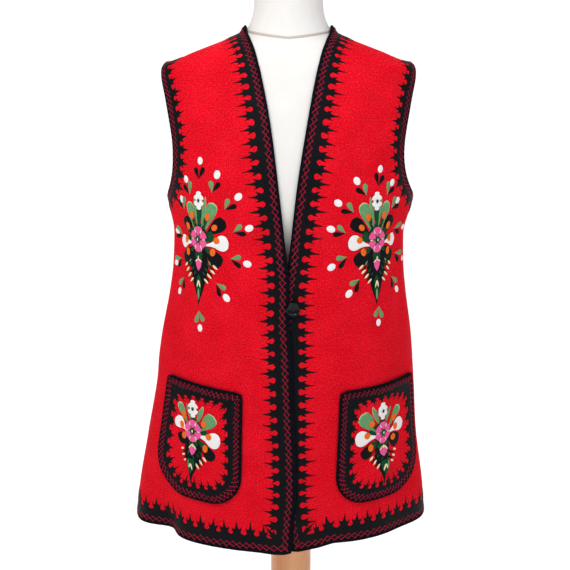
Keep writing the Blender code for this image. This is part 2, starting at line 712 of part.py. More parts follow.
def main():
    for obj in list(bpy.data.objects):
        bpy.data.objects.remove(obj)
    wool = material("red_wool", (0.72, 0.015, 0.022), 0.9)
    tape = material("black_wool_tape", (0.008, 0.009, 0.012), 0.85)
    jersey = material("white_jersey", (0.80, 0.78, 0.74), 0.9)
    wood = material("light_wood", (0.74, 0.44, 0.21), 0.55)
    plastic = material("black_plastic", (0.006, 0.006, 0.008), 0.25)
    make_fronts(wool, tape)
    make_back(wool, tape)
    for side in SIDES:
        make_armhole_binding(side, tape)
        make_pocket(side, wool, tape)
    make_button(plastic)
    make_form(jersey)
    make_stand(wood)


main()
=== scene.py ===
"""An embroidered folk vest of woven wool on a jersey-covered dress form with a beech stand.

Metres, +Z up, and the vest faces -Y. Left and right are those of someone who faces it. A place on the
garment is a turn, the angle round the body from the front, and a height.
"""

from math import pi, radians

import bpy
import numpy as np
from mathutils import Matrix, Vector


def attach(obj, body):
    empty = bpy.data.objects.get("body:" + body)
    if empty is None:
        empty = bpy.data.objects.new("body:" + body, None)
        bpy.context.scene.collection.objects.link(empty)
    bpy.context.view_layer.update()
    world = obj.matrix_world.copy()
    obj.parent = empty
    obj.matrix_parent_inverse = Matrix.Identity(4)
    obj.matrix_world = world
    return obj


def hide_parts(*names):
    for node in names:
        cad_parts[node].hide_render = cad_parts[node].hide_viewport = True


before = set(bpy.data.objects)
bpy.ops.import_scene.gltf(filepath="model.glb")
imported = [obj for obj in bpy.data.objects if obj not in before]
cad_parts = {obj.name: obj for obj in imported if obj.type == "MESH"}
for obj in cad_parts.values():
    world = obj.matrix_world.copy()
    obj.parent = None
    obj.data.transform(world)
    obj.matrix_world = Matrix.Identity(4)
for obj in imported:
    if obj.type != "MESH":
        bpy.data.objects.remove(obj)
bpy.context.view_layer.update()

# ---- Sizes of the cut ----

CLOTH = 0.0025  # thickness of the wool
SEAM = 0.0003  # space between pieces that meet
BINDING_WIDTH = 0.008  # how far the braid reaches over a panel's edge
BINDING_OUT = 0.0010  # how far it stands over the wool's outside
BINDING_IN = 0.0002  # and over its inside
SHOULDER_TOP = 1.384
UNDERARM = 1.118
BACK_NECK = 1.362
ARMHOLE_REACH = {"front": 0.057, "back": 0.055}
ARMHOLE_EGG = {"front": 0.024, "back": 0.022}
SHOULDER_END = 0.190
LAP_LIFT = 0.0048  # how far the left front rises over the right one
LAP_START = (-0.055, -0.020)  # between these x
LAP_TOP = (1.095, 1.050)  # and between these heights
BUTTON_X = 0.007
BUTTON_HEIGHT = 0.9665
POCKET_FLARE = 0.020
POCKET_HEIGHT = 0.180
POCKET_INNER_CORNER = 0.045
POCKET_OUTER_CORNER = 0.063
POCKET_LIFT = 0.0008
NECK_COLUMN_FOOT = 0.085  # x of the back's column that ends at the neck, level with the underarm
NECK_COLUMN_SLANT = 0.55  # how far it leans to the shoulder's ridge, as a share
RIDGE_START = 0.86  # where it begins to, as a share of the way up
BACK_FAN = 0.3  # where the back's columns begin to fan out, as a share of the way up to the underarm
BEND_ROWS = 0.03  # the way that a bend of one radian counts for when rows are spaced
HEM_REACH = (0.004, 0.245)
BACK_HEM_MIDDLE = 0.570

# The outside of the cloth: height, half width, front depth, back depth, power, middle
VEST_SECTIONS = [
    (0.535, 0.2485, 0.1450, 0.1520, 1.80, -0.0138),
    (0.6145, 0.2424, 0.1455, 0.1490, 1.85, -0.0122),
    (0.715, 0.2267, 0.1455, 0.1420, 1.95, -0.0100),
    (0.811, 0.2144, 0.1445, 0.1350, 2.00, -0.0044),
    (0.891, 0.2056, 0.1425, 0.1280, 2.05, -0.0022),
    (0.968, 0.1933, 0.1400, 0.1220, 2.10, -0.0008),
    (1.011, 0.1884, 0.1385, 0.1190, 2.10, 0.0000),
    (1.060, 0.1868, 0.1375, 0.1180, 2.10, 0.0007),
    (1.120, 0.1975, 0.1365, 0.1170, 2.10, 0.0030),
    (1.160, 0.1975, 0.1330, 0.1160, 2.10, 0.0010),
    (1.200, 0.1985, 0.1260, 0.1145, 2.10, 0.0000),
    (1.260, 0.2030, 0.1090, 0.1100, 2.05, 0.0000),
    (1.300, 0.2035, 0.0950, 0.1000, 2.00, 0.0000),
    (1.320, 0.2015, 0.0880, 0.0920, 2.00, 0.0000),
    (1.3303, 0.1957, 0.0840, 0.0870, 2.00, 0.0000),
    (1.3360, 0.1785, 0.0815, 0.0840, 2.00, 0.0000),
    (1.3476, 0.1514, 0.0765, 0.0780, 2.00, 0.0000),
    (1.3686, 0.0975, 0.0680, 0.0670, 2.00, 0.0000),
    (1.3784, 0.0768, 0.0640, 0.0625, 2.00, 0.0000),
    (1.3840, 0.0726, 0.0620, 0.0605, 2.00, 0.0000),
    (1.3900, 0.0685, 0.0605, 0.0590, 2.00, 0.0000),
    (1.4000, 0.0655, 0.0590, 0.0575, 2.00, 0.0000),
    (1.4200, 0.0640, 0.0580, 0.0565, 2.00, 0.0000),
]

# The dress form, the same way
FORM_SECTIONS = [
    (0.700, 0.1660, 0.1120, 0.1130, 2.15, 0.0000),
    (0.780, 0.1640, 0.1120, 0.1150, 2.15, 0.0000),
    (0.860, 0.1500, 0.1060, 0.1060, 2.15, 0.0000),
    (0.930, 0.1360, 0.1010, 0.0930, 2.15, 0.0000),
    (1.000, 0.1420, 0.1060, 0.0920, 2.15, 0.0000),
    (1.070, 0.1580, 0.1230, 0.1000, 2.10, 0.0000),
    (1.120, 0.1670, 0.1305, 0.1060, 2.10, 0.0000),
    (1.160, 0.1710, 0.1280, 0.1085, 2.10, 0.0000),
    (1.200, 0.1740, 0.1210, 0.1075, 2.10, 0.0000),
    (1.260, 0.1780, 0.1040, 0.1035, 2.05, 0.0000),
    (1.295, 0.1780, 0.0920, 0.0960, 2.00, 0.0000),
    (1.316, 0.1760, 0.0850, 0.0880, 2.00, 0.0000),
    (1.3330, 0.1690, 0.0790, 0.0810, 2.00, 0.0000),
    (1.3447, 0.1480, 0.0740, 0.0750, 2.00, 0.0000),
    (1.3628, 0.0980, 0.0640, 0.0635, 2.00, 0.0000),
    (1.3720, 0.0740, 0.0575, 0.0565, 2.00, 0.0000),
    (1.3850, 0.0645, 0.0545, 0.0535, 2.00, 0.0000),
    (1.3950, 0.0600, 0.0530, 0.0520, 2.00, 0.0000),
    (1.4060, 0.0562, 0.0525, 0.0515, 2.00, 0.0000),
    (1.4200, 0.0542, 0.0520, 0.0510, 2.00, 0.0000),
    (1.4780, 0.0535, 0.0520, 0.0505, 2.00, 0.0000),
]

# The fronts' inner edges, where the binding begins: height and x
LEFT_FRONT_EDGE = [
    (0.540, -0.0020),
    (0.600, 0.0010),
    (0.660, 0.0060),
    (0.720, 0.0050),
    (0.800, 0.0010),
    (0.890, -0.0020),
    (0.965, -0.0065),
    (1.010, -0.0065),
    (1.045, -0.0110),
    (1.080, -0.0150),
    (1.150, -0.0230),
    (1.240, -0.0345),
    (1.320, -0.0500),
    (1.355, -0.0595),
    (1.372, -0.0672),
    (1.384, -0.0726),
]
RIGHT_FRONT_EDGE = [
    (0.540, 0.0150),
    (0.600, 0.0050),
    (0.660, 0.0010),
    (0.965, 0.0015),
    (1.010, 0.0040),
    (1.045, 0.0080),
    (1.080, 0.0120),
    (1.150, 0.0200),
    (1.240, 0.0345),
    (1.320, 0.0500),
    (1.355, 0.0595),
    (1.372, 0.0672),
    (1.384, 0.0726),
]

# The hem, where the binding begins: distance from the middle and height
LEFT_HEM = [(0.000, 0.563), (0.100, 0.568), (0.160, 0.573), (0.200, 0.575), (0.260, 0.576)]
RIGHT_HEM = [(0.000, 0.564), (0.030, 0.566), (0.055, 0.573), (0.100, 0.575), (0.200, 0.576), (0.260, 0.576)]

# The largest folds: turn and half width in degrees, depth, the heights where it begins and is full
FOLDS = [
    (-58.0, 7.0, -0.0240, 0.690, 0.560),
    (-70.0, 8.0, 0.0050, 1.020, 0.800),
    (17.0, 7.0, -0.0100, 0.680, 0.560),
    (60.0, 9.0, -0.0060, 0.980, 0.700),
    (118.0, 9.0, 0.0090, 1.000, 0.600),
    (141.0, 10.0, -0.0100, 0.960, 0.600),
    (176.0, 13.0, 0.0090, 1.020, 0.600),
    (212.0, 10.0, -0.0110, 0.980, 0.600),
    (238.0, 9.0, 0.0080, 0.940, 0.600),
]

# Soft creases: from a turn in degrees and a height to another, half width and depth in metres
CREASES = [
    (-72.0, 1.075, -80.0, 0.860, 0.010, 0.0022),
    (-63.0, 1.090, -66.0, 0.880, 0.012, -0.0014),
    (70.0, 1.080, 74.0, 0.930, 0.010, 0.0020),
    (61.0, 1.060, 63.0, 0.900, 0.011, -0.0014),
    (38.0, 1.285, 24.0, 1.240, 0.009, 0.0018),
    (46.0, 1.300, 30.0, 1.262, 0.007, -0.0010),
    (52.0, 1.290, 56.0, 1.180, 0.010, 0.0016),
    (-48.0, 1.290, -58.0, 1.190, 0.012, 0.0012),
    (-30.0, 0.960, -22.0, 0.780, 0.014, 0.0012),
    (30.0, 0.960, 20.0, 0.760, 0.014, 0.0013),
    (118.0, 1.090, 128.0, 0.940, 0.012, 0.0016),
    (-118.0, 1.085, -126.0, 0.930, 0.012, 0.0016),
    (150.0, 1.060, 146.0, 0.880, 0.014, 0.0014),
    (-155.0, 1.050, -150.0, 0.860, 0.014, 0.0014),
    (132.0, 1.280, 146.0, 1.230, 0.012, 0.0012),
    (-132.0, 1.280, -146.0, 1.225, 0.012, 0.0012),
]
CREASE_RADIUS = 0.165  # what one radian of turn measures round the body
CREASE_END = 0.03  # how softly a crease runs out

# Each pocket: its top corner nearest the front edge (x, height), how many degrees it is turned up at the
# side, and its width there
POCKETS = {"left": (-0.0794, 0.8205, 4.7, 0.128), "right": (0.0872, 0.8212, 1.4, 0.144)}

SIDES = {"left": -1, "right": 1}
FRONT_EDGES = {"left": LEFT_FRONT_EDGE, "right": RIGHT_FRONT_EDGE}
HEMS = {"left": LEFT_HEM, "right": RIGHT_HEM}

# How finely each panel's mesh is divided
FRONT_COLUMNS = 72
BACK_COLUMNS = 130
BACK_SHOULDER_SHARE = 0.5  # how much of half the back's width the shoulder takes
LOWER_ROWS = 96
UPPER_ROWS = 84
POCKET_COLUMNS = 36
POCKET_ROWS = 44


# ---- Curves and surfaces ----


def smooth(x, table, column):
    """The table's column read at x along its first column, on a smooth curve with no overshoot."""
    xs = np.array([row[0] for row in table])
    ys = np.array([row[column] for row in table])
    step = np.diff(ys) / np.diff(xs)
    before, after = step[:-1], step[1:]
    same_way = before * after > 0
    total = np.where(same_way, before + after, 1.0)
    inner = np.where(same_way, 2 * before * after / total, 0.0)
    slope = np.concatenate([step[:1], inner, step[-1:]])
    x = np.clip(x, xs[0], xs[-1])
    i = np.clip(np.searchsorted(xs, x) - 1, 0, len(xs) - 2)
    width = xs[i + 1] - xs[i]
    s = (x - xs[i]) / width
    start = ys[i] * (1 + 2 * s) * (1 - s) ** 2 + slope[i] * width * s * (1 - s) ** 2
    end = ys[i + 1] * s**2 * (3 - 2 * s) + slope[i + 1] * width * s**2 * (s - 1)
    return start + end


def ease(x, start, end):
    """0 at start, 1 at end and beyond, with soft ends."""
    s = np.clip((x - start) / (end - start), 0, 1)
    return s * s * (3 - 2 * s)


def mix(a, b, share):
    """The share of the way from a to b."""
    return a + (b - a) * share


def section(height, sections):
    """Half width, front depth, back depth, power and middle at a height."""
    return [smooth(height, sections, column) for column in range(1, 6)]


def around(turn, height, sections):
    """The point of a rounded section at a turn and height."""
    half_width, front, back, power, middle = section(height, sections)
    s, c = np.sin(turn), np.cos(turn)
    size = (np.abs(s) ** power + np.abs(c) ** power) ** (-1 / power)
    depth = np.where(c > 0, front, back)
    return np.stack([middle + size * half_width * s, -size * depth * c, height + 0 * turn], axis=-1)


def folds(turn, height):
    """How far the large folds push the cloth out."""
    push = 0
    for at, half_width, depth, top, full in FOLDS:
        away = (turn - radians(at) + pi) % (2 * pi) - pi
        push = push + depth * np.exp(-0.5 * (away / radians(half_width)) ** 2) * ease(height, top, full)
    return push


def creases(turn, height):
    """How far the soft creases push the cloth out."""
    push = 0
    for turn_a, height_a, turn_b, height_b, half_width, depth in CREASES:
        across = ((turn - radians(turn_a) + pi) % (2 * pi) - pi) * CREASE_RADIUS
        rise = height - height_a
        end = np.array([radians(turn_b - turn_a) * CREASE_RADIUS, height_b - height_a])
        length = np.hypot(*end)
        along = (across * end[0] + rise * end[1]) / length
        aside = (across * end[1] - rise * end[0]) / length
        beyond = np.maximum(0, np.maximum(-along, along - length))
        push = push + depth * np.exp(-0.5 * (aside / half_width) ** 2 - (beyond / CREASE_END) ** 2)
    return push


def vest(turn, height):
    """The outside of the cloth."""
    turn, height = np.broadcast_arrays(np.asarray(turn, float), np.asarray(height, float))
    point = around(turn, height, VEST_SECTIONS)
    outward = np.stack([np.sin(turn), -np.cos(turn), 0 * turn], axis=-1)
    return point + outward * (folds(turn, height) + creases(turn, height))[..., None]


def lapped(turn, height):
    """The outside of the left front, which rises over the right one below the neck."""
    point = vest(turn, height)
    lift = LAP_LIFT * ease(point[..., 0], *LAP_START) * ease(point[..., 2], *LAP_TOP)
    point[..., 1] -= lift
    return point


SURFACES = {"left": lapped, "right": vest}


def form(turn, height):
    """The outside of the dress form."""
    turn, height = np.broadcast_arrays(np.asarray(turn, float), np.asarray(height, float))
    return around(turn, height, FORM_SECTIONS)


def slopes(surface, turn, height):
    """How the surface moves for each radian of turn and each metre of height."""
    step = 1e-4
    across = (surface(turn + step, height) - surface(turn - step, height)) / (2 * step)
    up = (surface(turn, height + step) - surface(turn, height - step)) / (2 * step)
    return across, up


def normal(surface, turn, height):
    """The outward direction."""
    across, up = slopes(surface, turn, height)
    out = np.cross(across, up)
    return out / np.linalg.norm(out, axis=-1, keepdims=True)


def turn_at_x(x, height):
    """The turn of the vest's front at a distance from the middle."""
    half_width, _, _, power, middle = section(height, VEST_SECTIONS)
    s = np.clip(np.abs(x - middle) / half_width, 0, 1)
    return np.sign(x - middle) * np.arctan2(s, (1 - s**power) ** (1 / power))


def turn_at_depth(depth, height, face):
    """The angle between the side line and the place that lies depth in front of it, or behind it."""
    sizes = section(height, VEST_SECTIONS)
    power = sizes[3]
    c = np.clip(depth / sizes[1 if face == "front" else 2], 0, 1)
    return pi / 2 - np.arctan2((1 - c**power) ** (1 / power), c)


GIRTH_TURNS = np.linspace(-1.6 * pi, 1.6 * pi, 2305)
GIRTH_HEIGHTS = np.arange(0.530, 1.395, 0.005)
GIRTH_STEP = 0.01  # the turn over which its slope is taken
LEAST_SLOPE = 0.03


def girth_table():
    """The way round the cloth from the middle front to each turn, level by level."""
    rounds = vest(GIRTH_TURNS[None, :], GIRTH_HEIGHTS[:, None])
    steps = np.linalg.norm(np.diff(rounds, axis=1), axis=2)
    table = np.concatenate([np.zeros((len(GIRTH_HEIGHTS), 1)), np.cumsum(steps, axis=1)], axis=1)
    return table - table[:, [len(GIRTH_TURNS) // 2]]


GIRTHS = girth_table()


def between(table, row, column):
    """A table read between its rows and columns."""
    row = np.clip(row, 0, table.shape[0] - 1.001)
    column = np.clip(column, 0, table.shape[1] - 1.001)
    r, c = row.astype(int), column.astype(int)
    fr, fc = row - r, column - c
    low = table[r, c] * (1 - fc) + table[r, c + 1] * fc
    high = table[r + 1, c] * (1 - fc) + table[r + 1, c + 1] * fc
    return low * (1 - fr) + high * fr


def girth(turn, height):
    """How far round the cloth a place lies from the middle front."""
    row = (np.asarray(height, float) - GIRTH_HEIGHTS[0]) / (GIRTH_HEIGHTS[1] - GIRTH_HEIGHTS[0])
    column = (np.asarray(turn, float) - GIRTH_TURNS[0]) / (GIRTH_TURNS[1] - GIRTH_TURNS[0])
    return between(GIRTHS, row, column)


def turn_at_girth(way, height):
    """The turn that lies that far round the cloth, found in steps along the slope of the way."""
    turn = np.asarray(way, float) / CREASE_RADIUS
    for _ in range(12):
        slope = (girth(turn + GIRTH_STEP, height) - girth(turn - GIRTH_STEP, height)) / (2 * GIRTH_STEP)
        turn = turn + (way - girth(turn, height)) / np.maximum(slope, LEAST_SLOPE)
    return turn


# ---- The cut of the panels, as grids of turn and height ----


def shoulder_end_height():
    """The height of the shoulder seam's outer end."""
    heights = np.linspace(1.30, SHOULDER_TOP, 400)
    return np.interp(-SHOULDER_END, -section(heights, VEST_SECTIONS)[0], heights)


def armhole_angle(height, face):
    """How far the armhole's edge lies from the side line, as an angle round the body."""
    half_height = (shoulder_end_height() - UNDERARM) / 2
    along = np.clip((height - UNDERARM) / half_height - 1, -1, 1)
    reach = (ARMHOLE_REACH[face] - ARMHOLE_EGG[face] * along) * np.sqrt(1 - along**2)
    return turn_at_depth(reach, height, face)


def seam_angle(height):
    """Half of the space at a seam, as an angle round the body."""
    sizes = section(height, VEST_SECTIONS)
    return SEAM / 2 / ((sizes[1] + sizes[2]) / 2)


def even_rows(place, count):
    """The shares of the way up, from 0 to 1, that space a panel's rows: closer where the cloth bends."""
    share = np.linspace(0, 1, 600)
    travel = np.zeros_like(share)
    for across in (0.0, 0.3, 0.5, 0.7, 1.0):
        turns, heights = place(np.array([across]), share[:, None])
        steps = np.diff(vest(turns, heights)[:, 0], axis=0)
        bends = np.diff(normal(vest, turns, heights)[:, 0], axis=0)
        travel[1:] += np.cumsum(np.linalg.norm(steps, axis=1) + BEND_ROWS * np.linalg.norm(bends, axis=1))
    return np.interp(np.linspace(0, travel[-1], count + 1), travel, share)


def front_lower(side, hem, edge):
    """Where a front lies below the underarm: a function of the shares across and up."""

    def place(across, up):
        height = mix(smooth(mix(*HEM_REACH, across), hem, 1), UNDERARM, up)
        start = turn_at_x(smooth(height, edge, 1), height)
        end = side * (pi / 2 - seam_angle(height))
        return mix(start, end, across), height

    return place


def front_upper(side, edge):
    """Where a front lies above the underarm."""

    def place(across, up):
        neck_height = mix(UNDERARM, SHOULDER_TOP, up)
        arm_height = mix(UNDERARM, shoulder_end_height(), up)
        start = turn_at_x(smooth(neck_height, edge, 1), neck_height)
        limit = pi / 2 - seam_angle(neck_height)
        start = np.clip(start, -limit, limit)
        end = side * (pi / 2 - np.maximum(armhole_angle(arm_height, "front"), seam_angle(arm_height)))
        return mix(start, end, across), mix(neck_height, arm_height, across)

    return place


def front_grid(side, hem, edge):
    """The turns and heights of a front's points: rows from the hem up, columns from the front edge."""
    across = np.linspace(0, 1, FRONT_COLUMNS + 1)[None, :]
    lower, upper = front_lower(side, hem, edge), front_upper(side, edge)
    below = lower(across, np.linspace(0, 1, LOWER_ROWS + 1)[:, None])
    above = upper(across, even_rows(upper, UPPER_ROWS)[1:, None])
    return [np.concatenate([a, b]) for a, b in zip(below, above)]


def back_upper(across, up):
    """Where the back lies above the underarm, from its right armhole to its left one."""
    half = np.minimum(across, 1 - across) * 2
    neck_height = mix(UNDERARM, SHOULDER_TOP, up)
    arm_height = mix(UNDERARM, shoulder_end_height(), up)
    to_ridge = NECK_COLUMN_SLANT * ease(up, RIDGE_START, 1.0)
    edge_x = RIGHT_FRONT_EDGE[-1][1]
    neck_x = mix(mix(NECK_COLUMN_FOOT, edge_x, up), section(neck_height, VEST_SECTIONS)[0], to_ridge)
    seam = seam_angle(neck_height)
    arm = pi / 2 + np.maximum(armhole_angle(arm_height, "back"), seam_angle(arm_height))
    neck = pi - np.clip(turn_at_x(neck_x, neck_height), 0, pi / 2 - seam)
    by_shoulder = np.clip(half / BACK_SHOULDER_SHARE, 0, 1)
    by_neck = np.clip((half - BACK_SHOULDER_SHARE) / (1 - BACK_SHOULDER_SHARE), 0, 1)
    turn = np.where(half < BACK_SHOULDER_SHARE, mix(arm, neck, by_shoulder), mix(neck, pi, by_neck))
    drop = (SHOULDER_TOP - BACK_NECK) * np.sin(by_neck * pi / 2) ** 1.5 * up**4
    height = mix(arm_height, neck_height, by_shoulder) - drop
    return np.where(across > 0.5, 2 * pi - turn, turn), height


def back_grid():
    """The turns and heights of the back's points: rows from the hem up, columns from the right side."""
    across = np.linspace(0, 1, BACK_COLUMNS + 1)[None, :]
    start_turn, _ = back_upper(across, np.array([[0.0]]))
    rows = np.linspace(0, 1, LOWER_ROWS + 1)[:, None]
    hem = mix(BACK_HEM_MIDDLE, LEFT_HEM[-1][1], np.abs(1 - 2 * across) ** 2)
    below_height = mix(hem, UNDERARM, rows)
    side_turn = mix(pi / 2 + seam_angle(below_height), 3 * pi / 2 - seam_angle(below_height), across)
    below_turn = mix(side_turn, start_turn, ease(rows, BACK_FAN, 1.0))
    above_turn, above_height = back_upper(across, even_rows(back_upper, UPPER_ROWS)[1:, None])
    return np.concatenate([below_turn, above_turn]), np.concatenate([below_height, above_height])


def corner_loss(up, radius):
    """How much a round lower corner takes off the width at each height over the foot."""
    below = radius - np.clip(up, 0, radius)
    return radius - np.sqrt(radius**2 - below**2)


def pocket_place(side, across, up):
    """The turn and height of a place on a pocket: across from its inner edge, and up from its foot."""
    corner_x, top, turned, _ = POCKETS[side]
    lean = radians(turned)
    down = POCKET_HEIGHT - up
    height = top - down * np.cos(lean) + across * np.sin(lean)
    out = across * np.cos(lean) + down * np.sin(lean)
    start = girth(turn_at_x(corner_x, height), height)
    return turn_at_girth(start + SIDES[side] * out, height), height


def pocket_rows(side):
    """The height over the foot, start and end of each row across a pocket."""
    curve = np.linspace(0, pi / 2, POCKET_ROWS // 2 + 1)
    straight = np.linspace(POCKET_OUTER_CORNER, POCKET_HEIGHT, POCKET_ROWS - POCKET_ROWS // 2 + 1)
    up = np.concatenate([POCKET_OUTER_CORNER * (1 - np.cos(curve)), straight[1:]])
    flare = POCKET_FLARE / 2 * (1 - up / POCKET_HEIGHT)
    start = corner_loss(up, POCKET_INNER_CORNER) - flare
    end = POCKETS[side][3] + flare - corner_loss(up, POCKET_OUTER_CORNER)
    return up, start, end


def pocket_grid(side):
    """The turns and heights of a pocket's points: rows from its foot up, columns from the inside out."""
    up, start, end = pocket_rows(side)
    share = np.linspace(0, 1, POCKET_COLUMNS + 1)[None, :]
    across = mix(start[:, None], end[:, None], share)
    return pocket_place(side, across, np.broadcast_to(up[:, None], across.shape))


# ---- Colours and materials ----


def linear(hex_colour):
    """An sRGB colour such as "#C81E28" as the linear colour that a socket takes."""
    channels = [int(hex_colour[i : i + 2], 16) / 255 for i in (1, 3, 5)]
    return (*[c / 12.92 if c <= 0.04045 else ((c + 0.055) / 1.055) ** 2.4 for c in channels], 1.0)


def add(tree, kind, inputs=None, **settings):
    """A new node with its settings, its values and its links, which are sockets among the inputs."""
    node = tree.nodes.new(kind)
    for name, value in settings.items():
        setattr(node, name, value)
    for name, value in (inputs or {}).items():
        if isinstance(value, bpy.types.NodeSocket):
            tree.links.new(value, node.inputs[name])
        else:
            node.inputs[name].default_value = value
    return node


def new_material(name):
    """An empty material with its output and a shader: (material, tree, shader)."""
    material = bpy.data.materials.new(name)
    material.use_nodes = True
    tree = material.node_tree
    tree.nodes.clear()
    shader = add(tree, "ShaderNodeBsdfPrincipled")
    add(tree, "ShaderNodeOutputMaterial", {"Surface": shader.outputs["BSDF"]})
    return material, tree, shader


def set_ramp(node, stops):
    """Gives a colour ramp its stops: pairs of place and colour."""
    elements = node.color_ramp.elements
    for place, colour in stops[2:]:
        elements.new(place).color = linear(colour)
    for element, (place, colour) in zip(elements, sorted(stops)):
        element.position = place
        element.color = linear(colour)


WEAVE_PITCH = 0.0032
STRAND_PITCH = 0.0014
RIB_PITCH = 0.0016


def threads_apart(spacing):
    """The scale of a wave texture whose bands lie that far apart: at scale 1 they lie pi / 10 apart."""
    return 2 * pi / (20 * spacing)


def woven_wool(name, deep, main, light):
    """Milled plain weave of carded wool: soft slubs, and a short nap that lightens at grazing angles.

    The real threads lie 1.2 mm apart. They are drawn 3.2 mm apart, as fine as shows."""
    material, tree, shader = new_material(name)
    place = add(tree, "ShaderNodeUVMap", uv_map="Flat").outputs["UV"]
    wave = {"Vector": place, "Scale": threads_apart(WEAVE_PITCH), "Distortion": 1.0, "Detail": 2.0}
    warp = add(tree, "ShaderNodeTexWave", wave, bands_direction="X")
    weft = add(tree, "ShaderNodeTexWave", wave, bands_direction="Y")
    over = add(tree, "ShaderNodeTexChecker", {"Vector": place, "Scale": 1 / WEAVE_PITCH})
    weave = add(
        tree,
        "ShaderNodeMix",
        {0: over.outputs["Fac"], 2: warp.outputs["Fac"], 3: weft.outputs["Fac"]},
    )
    slub = add(
        tree,
        "ShaderNodeTexNoise",
        {"Vector": place, "Scale": 380.0, "Detail": 4.0, "Roughness": 0.75},
    )
    patches = add(
        tree,
        "ShaderNodeTexNoise",
        {"Vector": place, "Scale": 18.0, "Detail": 4.0, "Roughness": 0.6},
    )
    tone = add(tree, "ShaderNodeMath", {0: slub.outputs[0], 1: 0.73, 2: 0.0}, operation="MULTIPLY_ADD")
    tone = add(
        tree,
        "ShaderNodeMath",
        {0: patches.outputs[0], 1: 0.16, 2: tone.outputs[0]},
        operation="MULTIPLY_ADD",
    )
    tone = add(
        tree,
        "ShaderNodeMath",
        {0: weave.outputs[0], 1: 0.07, 2: tone.outputs[0]},
        operation="MULTIPLY_ADD",
    )
    colour = add(tree, "ShaderNodeValToRGB", {"Fac": tone.outputs[0]})
    set_ramp(colour, [(0.36, deep), (0.64, light), (0.50, main)])
    tree.links.new(colour.outputs["Color"], shader.inputs["Base Color"])
    relief = add(
        tree,
        "ShaderNodeMath",
        {0: slub.outputs[0], 1: 1.2, 2: weave.outputs[0]},
        operation="MULTIPLY_ADD",
    )
    bump = add(
        tree,
        "ShaderNodeBump",
        {"Height": relief.outputs[0], "Strength": 0.28, "Distance": 0.0008},
    )
    tree.links.new(bump.outputs["Normal"], shader.inputs["Normal"])
    shader.inputs["Roughness"].default_value = 0.88
    shader.inputs["Specular IOR Level"].default_value = 0.05
    shader.inputs["Sheen Weight"].default_value = 0.01
    shader.inputs["Sheen Roughness"].default_value = 0.4
    shader.inputs["Sheen Tint"].default_value = linear(light)
    return material


def wool_yarn(name, shade, main, light):
    """Worsted embroidery yarn in satin stitch: strands side by side with a soft gleam along them; the gleam
    and the shade between strands are partly painted into the colour.

    U runs along the strands and V across them. The real strands are 0.7 mm thick, drawn 1.4 mm."""
    material, tree, shader = new_material(name)
    place = add(tree, "ShaderNodeUVMap", uv_map="Flat").outputs["UV"]
    strands = add(
        tree,
        "ShaderNodeTexWave",
        {"Vector": place, "Scale": threads_apart(STRAND_PITCH), "Distortion": 1.2, "Detail": 1.0},
        bands_direction="Y",
    )
    stretch = add(tree, "ShaderNodeMapping", {"Vector": place, "Scale": (90.0, 620.0, 1.0)})
    fibres = add(
        tree,
        "ShaderNodeTexNoise",
        {"Vector": stretch.outputs["Vector"], "Scale": 1.0, "Detail": 3.0, "Roughness": 0.6},
    )
    tone = add(
        tree,
        "ShaderNodeMix",
        {0: 0.5, 2: strands.outputs["Fac"], 3: fibres.outputs[0]},
    )
    # Half the tone follows the strand bands: each strand is painted lighter along its crown, a painted
    # gleam, and darker in the grooves between strands, a painted shade. The other half is fibre noise, the
    # yarn's own uneven colour.
    colour = add(tree, "ShaderNodeValToRGB", {"Fac": tone.outputs[0]})
    set_ramp(colour, [(0.24, shade), (0.80, light), (0.50, main)])
    tree.links.new(colour.outputs["Color"], shader.inputs["Base Color"])
    bump = add(tree, "ShaderNodeBump", {"Height": tone.outputs[0], "Strength": 0.5, "Distance": 0.0005})
    tree.links.new(bump.outputs["Normal"], shader.inputs["Normal"])
    shader.inputs["Roughness"].default_value = 0.62
    shader.inputs["Specular IOR Level"].default_value = 0.10
    return material


def cotton_jersey(name, shade, main):
    """Single jersey stretched over foam: fine upright ribs and a matt surface.

    The real ribs lie 0.9 mm apart, drawn 1.6 mm."""
    material, tree, shader = new_material(name)
    place = add(tree, "ShaderNodeUVMap", uv_map="Flat").outputs["UV"]
    ribs = add(
        tree,
        "ShaderNodeTexWave",
        {"Vector": place, "Scale": threads_apart(RIB_PITCH), "Distortion": 0.8, "Detail": 1.0},
        bands_direction="X",
    )
    cloud = add(tree, "ShaderNodeTexNoise", {"Vector": place, "Scale": 26.0, "Detail": 3.0})
    tone = add(tree, "ShaderNodeMix", {0: 0.2, 2: cloud.outputs[0], 3: ribs.outputs["Fac"]})
    colour = add(
        tree,
        "ShaderNodeMix",
        {0: tone.outputs[0], 6: linear(shade), 7: linear(main)},
        data_type="RGBA",
    )
    tree.links.new(colour.outputs[2], shader.inputs["Base Color"])
    bump = add(
        tree,
        "ShaderNodeBump",
        {"Height": ribs.outputs["Fac"], "Strength": 0.12, "Distance": 0.0003},
    )
    tree.links.new(bump.outputs["Normal"], shader.inputs["Normal"])
    shader.inputs["Roughness"].default_value = 0.9
    shader.inputs["Specular IOR Level"].default_value = 0.2
    shader.inputs["Sheen Weight"].default_value = 0.1
    return material


